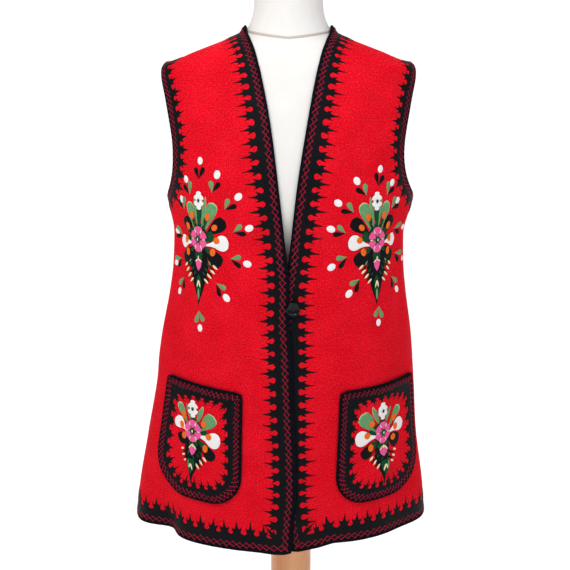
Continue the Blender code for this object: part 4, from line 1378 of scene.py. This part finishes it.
for side in SIDES:
    laid = beside_pocket(side, pocket_outline(side), POCKET_BORDER_REACH, POCKET_RISE)
    border(f"pocket_{side}", f"pocket_{side}", laid, POCKET_BORDER)

# ---- Flower sprays. Tables are in mm: u towards the front edge, v up from the pink flower's middle ----

# Each shape: share of the way along a stroke, and share of its half width
PETAL = [(0.0, 0.10), (0.2, 0.36), (0.45, 0.76), (0.68, 1.0), (0.84, 0.95), (0.94, 0.68), (1.0, 0.05)]
ARMED = [(0.0, 0.10), (0.2, 0.20), (0.4, 0.42), (0.58, 0.84), (0.74, 1.0), (0.88, 0.86), (0.96, 0.54)]
ARMED += [(1.0, 0.05)]
OVAL = [(0.0, 0.08), (0.1, 0.6), (0.3, 0.92), (0.5, 1.0), (0.7, 0.92), (0.9, 0.6), (1.0, 0.08)]
LEAF = [(0.0, 0.08), (0.3, 0.45), (0.6, 0.92), (0.78, 1.0), (0.93, 0.68), (1.0, 0.06)]
BLADE = [(0.0, 0.3), (0.35, 0.9), (0.6, 1.0), (0.85, 0.6), (1.0, 0.08)]
DASH = [(0.0, 0.2), (0.25, 0.9), (0.6, 1.0), (1.0, 0.15)]
BUD = [(0.0, 0.75), (0.12, 1.0), (0.35, 1.0), (0.6, 0.8), (0.85, 0.35), (1.0, 0.05)]
STROKES = {"petal": PETAL, "armed": ARMED, "oval": OVAL, "leaf": LEAF, "blade": BLADE, "dash": DASH}
STROKES["bud"] = BUD

# Each row: yarn, shape, start, end, half width, layer
BUST_FRONT = [
    ("pale green", "petal", (12.0, 17.0), (27.0, 60.0), 10.0, 0),
    ("light green", "petal", (12.0, 17.5), (26.3, 58.5), 9.2, 1),
    ("dark green", "petal", (10.0, 16.0), (14.6, 37.0), 3.6, 2),
    ("orange", "oval", (16.0, 30.6), (17.6, 43.6), 4.4, 3),
    ("pale green", "blade", (5.6, 20.0), (13.0, 68.5), 3.6, 0),
    ("light green", "blade", (5.6, 20.0), (12.8, 66.5), 2.9, 1),
    ("black", "petal", (12.0, 7.0), (46.3, 33.2), 12.0, 0),
    ("dark green", "petal", (10.0, 6.0), (26.0, 12.0), 5.0, 1),
    ("orange", "oval", (25.2, 17.2), (33.0, 25.4), 4.7, 3),
    ("dark green", "petal", (10.0, 2.0), (29.0, 3.4), 7.2, 1),
    ("white", "armed", (12.0, -9.0), (53.0, -0.4), 12.6, 2),
    ("orange", "oval", (27.8, 0.4), (38.6, 1.2), 5.8, 3),
    ("black", "petal", (7.0, -11.0), (40.0, -38.0), 13.0, 0),
    ("dark green", "petal", (9.0, -12.0), (22.0, -20.0), 4.4, 1),
    ("orange", "oval", (24.4, -24.6), (27.4, -12.2), 4.9, 3),
    ("cream", "dash", (25.4, -38.6), (33.6, -45.0), 1.9, 2),
    ("black", "dash", (19.0, -40.0), (28.6, -50.0), 1.7, 1),
    ("cream", "dash", (21.3, -46.5), (29.2, -52.5), 1.9, 2),
    ("black", "dash", (15.0, -48.0), (24.4, -57.5), 1.7, 1),
    ("cream", "dash", (15.0, -53.5), (22.8, -60.5), 1.8, 2),
    ("black", "dash", (10.0, -56.5), (18.6, -65.5), 1.6, 1),
    ("cream", "dash", (9.2, -62.0), (16.8, -69.0), 1.7, 2),
    ("dark green", "dash", (15.6, -37.0), (20.2, -43.0), 1.7, 2),
    ("dark green", "dash", (11.2, -44.4), (15.8, -50.4), 1.7, 2),
    ("dark green", "dash", (6.6, -51.4), (11.0, -57.4), 1.6, 2),
    ("light green", "dash", (17.6, -33.0), (22.4, -38.6), 1.2, 2),
]
BUST_SIDE = [
    ("pale green", "petal", (-9.0, 14.0), (-20.2, 59.4), 7.9, 0),
    ("light green", "petal", (-9.0, 14.5), (-19.0, 57.5), 6.8, 1),
    ("dark green", "petal", (-8.0, 17.0), (-12.0, 37.0), 3.0, 2),
    ("orange", "oval", (-12.2, 31.0), (-13.8, 44.0), 4.0, 3),
    ("pale green", "blade", (-3.1, 20.0), (-9.4, 67.5), 2.8, 0),
    ("light green", "blade", (-3.1, 20.0), (-9.2, 66.5), 2.1, 1),
    ("black", "petal", (-11.0, 2.0), (-32.0, 34.0), 11.2, 0),
    ("dark green", "petal", (-10.0, 6.0), (-18.0, 16.0), 3.6, 1),
    ("orange", "oval", (-20.6, 13.4), (-24.8, 26.0), 4.2, 3),
    ("dark green", "petal", (-9.0, 1.0), (-24.0, 2.4), 6.0, 1),
    ("white", "armed", (-13.0, -6.8), (-43.0, -6.0), 10.6, 2),
    ("orange", "oval", (-27.4, -8.6), (-27.6, 3.6), 4.4, 3),
    ("black", "petal", (-9.0, -10.0), (-36.0, -39.0), 12.6, 0),
    ("dark green", "petal", (-9.0, -12.0), (-18.0, -20.0), 3.8, 1),
    ("orange", "oval", (-24.0, -28.2), (-24.8, -15.6), 4.4, 3),
    ("cream", "dash", (-26.6, -39.6), (-33.4, -46.0), 1.8, 2),
    ("black", "dash", (-18.0, -40.5), (-30.0, -51.0), 1.7, 1),
    ("cream", "dash", (-22.6, -46.6), (-29.6, -54.0), 1.8, 2),
    ("black", "dash", (-15.0, -49.0), (-25.6, -59.0), 1.7, 1),
    ("cream", "dash", (-17.6, -54.6), (-25.0, -62.4), 1.8, 2),
    ("black", "dash", (-10.0, -57.0), (-20.4, -67.0), 1.6, 1),
    ("cream", "dash", (-12.6, -62.6), (-19.8, -69.6), 1.7, 2),
    ("dark green", "dash", (-15.6, -37.0), (-20.2, -43.0), 1.7, 2),
    ("dark green", "dash", (-11.2, -44.4), (-15.8, -50.4), 1.7, 2),
    ("dark green", "dash", (-6.6, -51.4), (-11.0, -57.4), 1.6, 2),
    ("light green", "dash", (-17.6, -33.0), (-22.4, -38.6), 1.2, 2),
]
BUST_MIDDLE = [
    ("dark green", "oval", (0.0, -23.0), (0.0, 27.0), 17.0, 0),
    ("dark green", "petal", (-0.5, 16.0), (0.2, 52.0), 6.0, 0),
    ("white", "oval", (0.7, 50.5), (0.7, 73.5), 6.4, 1),
    ("dark green", "oval", (-1.0, -12.0), (-1.0, -37.0), 8.2, 1),
    ("pink", "bud", (-1.2, -33.5), (-1.8, -51.0), 5.8, 2),
    ("cream", "dash", (-1.2, -26.5), (-1.2, -34.0), 1.3, 3),
    ("cream", "dash", (-1.0, -31.5), (6.2, -36.5), 1.2, 3),
    ("cream", "dash", (-1.4, -31.5), (-8.0, -36.5), 1.2, 3),
    ("dark green", "oval", (-1.6, -57.0), (-2.2, -90.0), 5.6, 1),
    ("light green", "dash", (-2.0, -78.0), (-2.6, -97.0), 2.2, 2),
    ("cream", "dash", (-1.2, -65.5), (1.6, -77.0), 1.4, 3),
    ("cream", "dash", (-1.8, -65.5), (-5.0, -77.0), 1.4, 3),
]
# The black body that tapers down from the flower: u, v and half width
BUST_BODY = [(-0.8, -14, 12), (-1, -20, 14.5), (-1, -27, 17), (-1.2, -35, 20), (-1.4, -43, 20.5)]
BUST_BODY += [(-1.5, -52, 18), (-1.6, -60, 15.8), (-1.8, -68, 13.6), (-2, -76, 11), (-2.2, -84, 7.8)]
BUST_BODY += [(-2.6, -92, 4.4), (-3, -99, 2), (-3.6, -107, 0.3)]
# The sprigs round each spray: where the two leaves meet, then where the bud is. Five are towards the front
# edge and five away from it, and the last two are the topmost and the lowest.
BUST_SPRIGS = {
    "left": [
        (25.2, 76.0, 33.7, 104.0),
        (46.7, 51.0, 68.9, 72.0),
        (61.5, 16.0, 86.8, 24.0),
        (56.7, -26.0, 84.4, -32.0),
        (31.8, -67.0, 49.0, -88.0),
        (-18.7, 69.0, -25.3, 92.0),
        (-33.7, 43.0, -37.8, 59.0),
        (-43.6, -2.0, -58.1, 3.0),
        (-47.8, -39.0, -64.5, -49.0),
        (-39.1, -68.0, -51.7, -92.0),
        (0.8, 95.0, 3.7, 123.0),
        (-3.0, -115.0, -0.8, -142.0),
    ],
    "right": [
        (19.9, 71.8, 35.8, 94.8),
        (41.2, 46.8, 66.2, 62.8),
        (54.8, 14.8, 78.4, 22.8),
        (52.8, -23.2, 78.4, -37.2),
        (31.2, -60.2, 49.0, -81.2),
        (-20.1, 68.8, -30.1, 86.8),
        (-29.8, 45.8, -43.5, 57.8),
        (-41.7, 10.8, -69.3, 9.8),
        (-47.9, -30.2, -74.5, -43.2),
        (-38.7, -66.2, -54.5, -89.2),
        (-2.0, 84.5, -5.6, 110.0),
        (-7.6, -108.2, -7.1, -134.2),
    ],
}
# The yarns of each sprig's two leaves
SPRIG_YARNS = [("light green", "black")] * 5 + [("black", "light green")] * 5
SPRIG_YARNS += [("black", "black"), ("light green", "light green")]
SPRIG_LEAVES = [(16.5, 8.2, 4.5), (19.5, -8.0, 4.3)]  # each leaf's reach to the bud, aside, and half width
BUD_HALF_LENGTH = 7.0
BUD_HALF_WIDTH = 5.7
SMALL_BUD_LIMIT = 5.0  # a sprig whose leaves meet at this u or less has a smaller bud
SMALL_BUD = 0.86
BUST_AXIS = {"left": -0.1395, "right": 0.1368}
BUST_HEIGHT = 1.067
# How far a spray is spread and tilted, as shares of u: towards the front edge, then away from it
UNCHANGED = ((1.0, 0.0), (1.0, 0.0))
BUST_FIT = {"left": ((1.03, 0.0), (1.0, 0.06)), "right": ((0.97, 0.03), (1.0, -0.05))}
POCKET_FIT = {"left": UNCHANGED, "right": ((1.08, 0.2), (1.4, 0.2))}

POCKET_SPRAY = [
    ("dark green", "oval", (0.5, -19.0), (0.5, 21.0), 15.0, 0),
    ("pale green", "petal", (11.0, 0.5), (38.0, 28.2), 12.0, 0),
    ("light green", "petal", (11.0, 1.0), (36.8, 27.2), 11.2, 1),
    ("dark green", "petal", (10.0, 2.0), (22.0, 17.0), 3.6, 2),
    ("orange", "oval", (19.0, 8.0), (20.6, 19.4), 5.0, 3),
    ("pale green", "blade", (7.0, 15.0), (18.6, 42.6), 4.2, 0),
    ("light green", "blade", (7.0, 15.0), (18.0, 41.0), 3.4, 1),
    ("dark green", "petal", (9.0, -3.0), (26.0, -3.6), 6.8, 1),
    ("white", "armed", (6.0, -6.2), (47.5, -13.5), 13.4, 2),
    ("orange", "oval", (27.4, -11.6), (28.4, -0.6), 5.6, 3),
    ("dark green", "petal", (8.0, -14.0), (20.0, -25.0), 5.0, 1),
    ("black", "petal", (8.0, -13.0), (35.0, -45.0), 10.2, 0),
    ("orange", "oval", (21.0, -33.0), (21.4, -20.0), 4.6, 3),
    ("pale green", "petal", (-11.0, 10.0), (-28.4, 42.6), 6.6, 0),
    ("light green", "petal", (-10.6, 10.0), (-26.6, 40.5), 5.8, 1),
    ("orange", "oval", (-15.4, 17.0), (-19.4, 29.6), 4.0, 3),
    ("light green", "blade", (-5.0, 17.0), (-13.0, 43.0), 2.6, 0),
    ("white", "armed", (-8.0, -3.0), (-34.5, 15.5), 10.6, 2),
    ("orange", "oval", (-19.8, 1.0), (-22.4, 13.0), 4.2, 3),
    ("black", "petal", (-7.0, -5.0), (-28.5, -20.5), 11.0, 0),
    ("orange", "oval", (-16.8, -16.0), (-17.6, -4.6), 4.3, 3),
    ("dark green", "petal", (0.0, 17.0), (0.5, 26.0), 5.0, 0),
    ("white", "oval", (0.5, 25.0), (-0.5, 47.0), 6.4, 1),
    ("dark green", "oval", (0.0, -14.0), (-1.0, -28.0), 8.6, 1),
    ("pink", "bud", (-2.0, -27.0), (-3.2, -41.5), 5.8, 2),
    ("cream", "dash", (-1.6, -21.0), (-1.8, -28.0), 1.1, 3),
    ("cream", "dash", (-1.6, -22.5), (5.6, -30.5), 1.3, 3),
    ("cream", "dash", (-2.2, -22.5), (-8.6, -30.0), 1.3, 3),
    ("dark green", "bud", (-5.0, -47.0), (-7.6, -74.0), 6.4, 2),
    ("light green", "dash", (-10.2, -49.0), (-9.2, -64.0), 1.4, 3),
    ("cream", "dash", (-5.6, -54.5), (-3.0, -66.5), 1.5, 3),
    ("cream", "dash", (-6.0, -54.5), (-9.0, -63.5), 1.5, 3),
    ("cream", "dash", (16.6, -41.0), (22.4, -49.0), 1.9, 2),
    ("cream", "dash", (10.4, -47.0), (15.6, -55.5), 1.8, 2),
    ("cream", "dash", (3.8, -54.0), (9.0, -63.0), 1.8, 2),
    ("black", "dash", (10.0, -44.0), (18.8, -54.0), 1.7, 1),
    ("black", "dash", (4.0, -50.0), (12.4, -60.5), 1.7, 1),
    ("cream", "dash", (-18.4, -31.6), (-23.8, -33.4), 1.7, 2),
    ("cream", "dash", (-16.6, -41.0), (-21.6, -43.6), 1.7, 2),
    ("cream", "dash", (-14.4, -49.6), (-18.6, -52.4), 1.6, 2),
    ("black", "dash", (-11.0, -34.6), (-21.0, -38.8), 1.6, 1),
    ("black", "dash", (-10.0, -43.6), (-18.6, -47.6), 1.6, 1),
    ("dark green", "dash", (6.0, -37.0), (9.6, -43.0), 1.7, 2),
    ("dark green", "dash", (11.0, -33.0), (14.0, -39.0), 1.5, 2),
    ("dark green", "dash", (-8.0, -34.0), (-11.0, -41.0), 1.7, 2),
    ("dark green", "dash", (-2.0, -42.0), (1.0, -48.0), 1.5, 2),
]
POCKET_BODY = [(-1, -13, 12), (-1.5, -20, 15), (-1.5, -27, 16.5), (-1.5, -34, 17), (-1.5, -41, 16.5)]
POCKET_BODY += [(-2.4, -49, 14), (-3.6, -57, 11), (-4.8, -65, 8), (-6, -73, 4.8), (-6.8, -82, 2.2)]
POCKET_BODY += [(-7.2, -94, 0.3)]
POCKET_AXIS = {"left": (-0.1510, 0.7555), "right": (0.1505, 0.7495)}

LONG_STROKE = 20  # a longer one has twice the rows
WIDE_STROKE = 3  # a half width above this has twice the columns
PETALS = 6
# The rays between the pink petals: yarn, how far past the gap in radians, start and end as shares of the
# flower's size, and half width
RAYS = [("cream", 0.0, 0.5, 0.94, 0.9), ("dark green", 0.0, 0.2, 0.6, 1.0), ("black", 0.5, 0.2, 0.5, 0.7)]
# Half the width and half the height of each flower, and where the white ones' middles are
BUST_FLOWER = (15.4, 20.8)
POCKET_FLOWER = (14.8, 18.4)
WHITE_FLOWER = (8.6, 14.6)
BUST_WHITE = (0.8, 61.5)
POCKET_WHITE = (0.0, 36.0)


def fitted(place, fit):
    """A place in a spray, spread and tilted by the shares for its own side of the middle."""
    spread, tilt = fit[0] if place[0] > 0 else fit[1]
    return np.array([place[0] * spread, place[1] + place[0] * tilt])


def stroke(work, yarn, shape, start, end, half_width, layer, fit=UNCHANGED):
    """A bundle from one place to another whose half width follows a shape. Where the fit spreads the spray,
    upright strokes widen with it."""
    start, end = fitted(start, fit), fitted(end, fit)
    way = end - start
    spread = (fit[0] if end[0] > 0 else fit[1])[0]
    half_width *= 1 + (spread - 1) * abs(way[1]) / np.hypot(*way)
    line = [(*mix(start, end, share), half_width * part) for share, part in STROKES[shape]]
    rows = 16 if np.hypot(*way) > LONG_STROKE else 8
    work.bundle(yarn, line, rows=rows, across=8 if half_width > WIDE_STROKE else 4, layer=layer)


def spoke(angle, size):
    """The way from a flower's middle to its rim."""
    return np.array([np.cos(angle) * size[0], np.sin(angle) * size[1]])


def rosette(work, yarn, middle, size, half_width, layer):
    """Round petals about a middle."""
    for k in range(PETALS):
        way = spoke(pi / 2 + 2 * pi * k / PETALS, size)
        stroke(work, yarn, "petal", middle + way * 0.12, middle + way, half_width, layer)


def flower(work, size):
    """The pink flower: six petals, cream and dark rays, and a green eye with a cream dot."""
    rosette(work, "pink", np.zeros(2), size, size[0] * 0.48, 4)
    for k in range(PETALS):
        gap = pi / 2 + 2 * pi * (k + 0.5) / PETALS
        for yarn, past, start, end, half_width in RAYS:
            way = spoke(gap + past, size)
            stroke(work, yarn, "dash", way * start, way * end, half_width, 5)
    stroke(work, "dark green", "oval", (0, -5.6), (0, 5.6), 4.6, 6)
    stroke(work, "cream", "oval", (0, -2.8), (0, 2.8), 1.6, 7)


def white_flower(work, middle):
    """The small white flower above the pink one: six petals about a green eye."""
    rosette(work, "white", np.array(middle), WHITE_FLOWER, 4.5, 2)
    stroke(work, "dark green", "oval", middle - np.array([0, 2.8]), middle + np.array([0, 2.8]), 2.3, 4)


def sprig(work, tip, bud, yarns):
    """A white bud over two leaves that meet at a tip."""
    way = bud - tip
    way = way / np.hypot(*way)
    aside = np.array([-way[1], way[0]])
    for yarn, (reach, out, half_width) in zip(yarns, SPRIG_LEAVES):
        stroke(work, yarn, "leaf", tip, tip + way * reach + aside * out, half_width, 0)
    size = 1.0 if tip[0] > SMALL_BUD_LIMIT else SMALL_BUD
    half_length = way * BUD_HALF_LENGTH * size
    stroke(work, "white", "oval", bud - half_length, bud + half_length, BUD_HALF_WIDTH * size, 0)


def bust_spray(side):
    """The large spray on a front."""
    work = Needlework()
    work.bundle("black", BUST_BODY, rows=24, across=8)
    for row in BUST_FRONT + BUST_SIDE + BUST_MIDDLE:
        stroke(work, *row, fit=BUST_FIT[side])
    for row, yarns in zip(BUST_SPRIGS[side], SPRIG_YARNS):
        sprig(work, np.array(row[:2]), np.array(row[2:]), yarns)
    flower(work, BUST_FLOWER)
    white_flower(work, BUST_WHITE)
    return work


def pocket_spray(side):
    """The smaller spray on a pocket, without sprigs."""
    work = Needlework()
    work.bundle("black", POCKET_BODY, rows=20, across=8)
    for row in POCKET_SPRAY:
        stroke(work, *row, fit=POCKET_FIT[side])
    flower(work, POCKET_FLOWER)
    white_flower(work, POCKET_WHITE)
    return work


for side in SIDES:
    spray = bust_spray(side).sewn(f"spray_{side}", round_axis(side, BUST_AXIS[side], BUST_HEIGHT))
    trim(f"front_{side}", spray)
    lay = round_axis(side, *POCKET_AXIS[side], lift=POCKET_RISE)
    trim(f"pocket_{side}", pocket_spray(side).sewn(f"pocket_spray_{side}", lay))

# ---- Button, dress form and stand ----

BUTTON_SIDES = 48
SHANK_RADIUS = 0.002
# The button from the edge of its back face to the middle of its front: radius and height
BUTTON_PROFILE = [
    (0.0090, 0.0000),
    (0.0102, 0.0003),
    (0.0108, 0.0010),
    (0.0111, 0.0019),
    (0.0108, 0.0028),
    (0.0101, 0.0034),
    (0.0093, 0.0036),
    (0.0085, 0.0034),
    (0.0078, 0.0029),
    (0.0071, 0.0023),
    (0.0060, 0.0020),
    (0.0030, 0.0019),
]


def turned(name, profile, sides, materials, centre, axes):
    """A turned piece from (radius, height) pairs, closed by a point at each end, in its place and axes."""
    angles = np.arange(sides) * 2 * pi / sides
    rings = [[(r * np.cos(a), r * np.sin(a), h) for a in angles] for r, h in profile]
    points = np.array([*sum(rings, []), (0, 0, profile[0][1]), (0, 0, profile[-1][1])])
    faces = []
    for ring in range(len(profile) - 1):
        for k in range(sides):
            a, b = ring * sides + k, ring * sides + (k + 1) % sides
            faces.append((a, b, b + sides, a + sides))
    last = (len(profile) - 1) * sides
    for k in range(sides):
        faces.append((len(points) - 2, (k + 1) % sides, k))
        faces.append((len(points) - 1, last + k, last + (k + 1) % sides))
    return new_piece(name, points @ axes + centre, faces, materials)


button_turn = turn_at_x(BUTTON_X, BUTTON_HEIGHT)
button_foot = vest(button_turn, BUTTON_HEIGHT)
button_out = normal(vest, button_turn, BUTTON_HEIGHT)
button_right = np.cross([0, 0, 1], button_out)
button_right /= np.linalg.norm(button_right)
button_axes = np.array([button_right, np.cross(button_out, button_right), button_out])
button_back = LAP_LIFT + BINDING_OUT + 2 * SEAM
profile = [(SHANK_RADIUS, 2 * SEAM), (SHANK_RADIUS, button_back)]
profile += [(radius, button_back + rise) for radius, rise in BUTTON_PROFILE]
polyester = cast_polyester("black_polyester")
button = turned("shank_button", profile, BUTTON_SIDES, [polyester], button_foot, button_axes)
belongs(button, "black_plastic", "button")

FORM_COLUMNS = 128
FORM_LEVELS = 150
FORM_BOTTOM = 0.720
FORM_WALL = 0.745  # where its foot has become its wall
NECK_TOP = 1.478
NECK_DOME_DEPTH = 0.012
FORM_RADIUS = 0.15  # what one radian measures round the form, for its ribs
NECK_RADIUS = 0.06
# The rounded foot and the domed neck: height over FORM_BOTTOM or NECK_TOP, and size as a share
FORM_FOOT = [(0.000, 0.90), (0.003, 0.945), (0.006, 0.97), (0.012, 0.99), (0.020, 1.00)]
NECK_DOME = [(-0.008, 0.99), (-0.004, 0.97), (-0.001, 0.92), (0.002, 0.82), (0.005, 0.62), (0.007, 0.40)]
# The seam round the neck: turn and height of its middle, then its profile: drop and rise
SEAM_LINE = [(0.0, 1.374), (0.8, 1.3797), (1.2, 1.382), (1.57, 1.384), (2.3, 1.389), (pi, 1.392)]
SEAM_PROFILE = [(-0.0022, -0.0002), (-0.0016, 0.0006), (0.0, 0.0009), (0.0016, 0.0006), (0.0022, -0.0002)]
SEAM_POINTS = 193
SEAM_WIDTH = 0.004


def torso():
    """The padded torso: level rings from its rounded foot to its domed neck."""
    levels = [(FORM_BOTTOM + up, size) for up, size in FORM_FOOT]
    levels += [(height, 1.0) for height in np.linspace(FORM_WALL, NECK_TOP - NECK_DOME_DEPTH, FORM_LEVELS)]
    levels += [(NECK_TOP + up, size) for up, size in NECK_DOME]
    turns = np.linspace(0, 2 * pi, FORM_COLUMNS + 1)
    rings = []
    for height, size in levels:
        rings.append(form(turns, height) * np.array([size, size, 1]))
    points = np.concatenate(rings)
    flat = np.stack(np.meshgrid(turns * FORM_RADIUS, [height for height, _ in levels]), axis=-1)
    faces = grid_faces(len(levels), FORM_COLUMNS + 1).tolist()
    last = len(points) - FORM_COLUMNS - 1
    faces.append(list(range(FORM_COLUMNS))[::-1])
    faces.append([last + k for k in range(FORM_COLUMNS)])
    return new_piece("jersey_torso", points, faces, [JERSEY], flat.reshape(-1, 2))


def neck_seam():
    """The taped seam round the foot of the neck: a thin ridge."""
    turns = np.linspace(-pi, pi, SEAM_POINTS)
    middle = smooth(np.abs(turns), SEAM_LINE, 1)
    rows = []
    for drop, rise in SEAM_PROFILE:
        height = middle + drop
        rows.append(form(turns, height) + normal(form, turns, height) * rise)
    points = np.stack(rows).reshape(-1, 3)
    across = np.linspace(0, SEAM_WIDTH, len(SEAM_PROFILE))
    flat = np.stack(np.meshgrid(turns * NECK_RADIUS, across), axis=-1).reshape(-1, 2)
    return new_piece("neck_seam", points, grid_faces(len(SEAM_PROFILE), SEAM_POINTS), [SEAM_THREAD], flat)


belongs(torso(), "white_jersey", "form_torso")
belongs(neck_seam(), "white_jersey")

# The post's grain stands and the base's lies
POST_WOOD = lacquered_beech("lacquered_beech_post", (34.0, 34.0, 2.2), (420.0, 420.0, 60.0))
BASE_WOOD = lacquered_beech("lacquered_beech_base", (2.2, 34.0, 34.0), (60.0, 420.0, 420.0))
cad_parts["post"].material_slots[0].material = POST_WOOD
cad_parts["base"].material_slots[0].material = BASE_WOOD

# ---- Floor, light and camera ----


def light(name, place, target, size, power, colour):
    """A soft square light that faces a place."""
    lamp = bpy.data.lights.new(name, "AREA")
    lamp.size = size
    lamp.energy = power
    lamp.color = linear(colour)[:3]
    holder = bpy.data.objects.new(name, lamp)
    holder.location = place
    holder.rotation_euler = (Vector(target) - Vector(place)).to_track_quat("-Z", "Y").to_euler()
    bpy.context.scene.collection.objects.link(holder)


def floor():
    """A pale floor that curves up far behind. It glows, which is painted light: not at all by the stand and
    more the farther away, so it stays darker round the stand.
    """
    run = [(-6.0, 0.0), (5.0, 0.0)]
    run += [(5.0 + 2.0 * np.sin(a), 2.0 - 2.0 * np.cos(a)) for a in np.linspace(0.1, pi / 2, 12)]
    run += [(7.0, 8.0)]
    points = [(x, y, z) for y, z in run for x in (-9.0, 9.0)]
    faces = [(2 * k, 2 * k + 1, 2 * k + 3, 2 * k + 2) for k in range(len(run) - 1)]
    material, tree, shader = new_material("backdrop_paper_with_painted_glow")
    shader.inputs["Base Color"].default_value = linear("#F4F4F4")
    shader.inputs["Roughness"].default_value = 0.9
    # Painted light: the floor glows by its distance from the stand's foot, none within 0.1 m, rising to 0.6
    # at 1 m and beyond.
    place = add(tree, "ShaderNodeTexCoord").outputs["Object"]
    away = add(tree, "ShaderNodeVectorMath", {0: place}, operation="LENGTH")
    glow = add(
        tree,
        "ShaderNodeMapRange",
        {"Value": away.outputs["Value"], "From Min": 0.1, "From Max": 1.0, "To Max": 0.6},
    )
    shader.inputs["Emission Color"].default_value = linear("#FFFFFF")
    tree.links.new(glow.outputs[0], shader.inputs["Emission Strength"])
    return new_piece("floor", points, faces, [material])


floor()
world = bpy.data.worlds.new("studio")
world.use_nodes = True
world.node_tree.nodes["Background"].inputs["Color"].default_value = linear("#FFFFFF")
world.node_tree.nodes["Background"].inputs["Strength"].default_value = 0.25
bpy.context.scene.world = world
light("key", (-0.75, -1.2, 2.9), (0.0, 0.0, 1.35), 1.2, 34.5, "#FFFDFA")
light("fill", (1.0, -1.15, 2.7), (0.0, 0.0, 1.35), 1.3, 14.0, "#F8FAFF")

SENSOR = 36.0
FOCAL = 1312  # the focal length, in pixels
PIXELS = 570  # across the picture

bpy.context.scene.view_settings.view_transform = "Standard"
view = bpy.data.cameras.new("camera")
view.sensor_width = SENSOR
view.lens = SENSOR * FOCAL / PIXELS
camera = bpy.data.objects.new("camera", view)
camera.location = (-0.0056, -2.10, 1.50)
camera.rotation_euler = (radians(75.8), 0.0, 0.0)
bpy.context.scene.collection.objects.link(camera)
bpy.context.scene.camera = camera
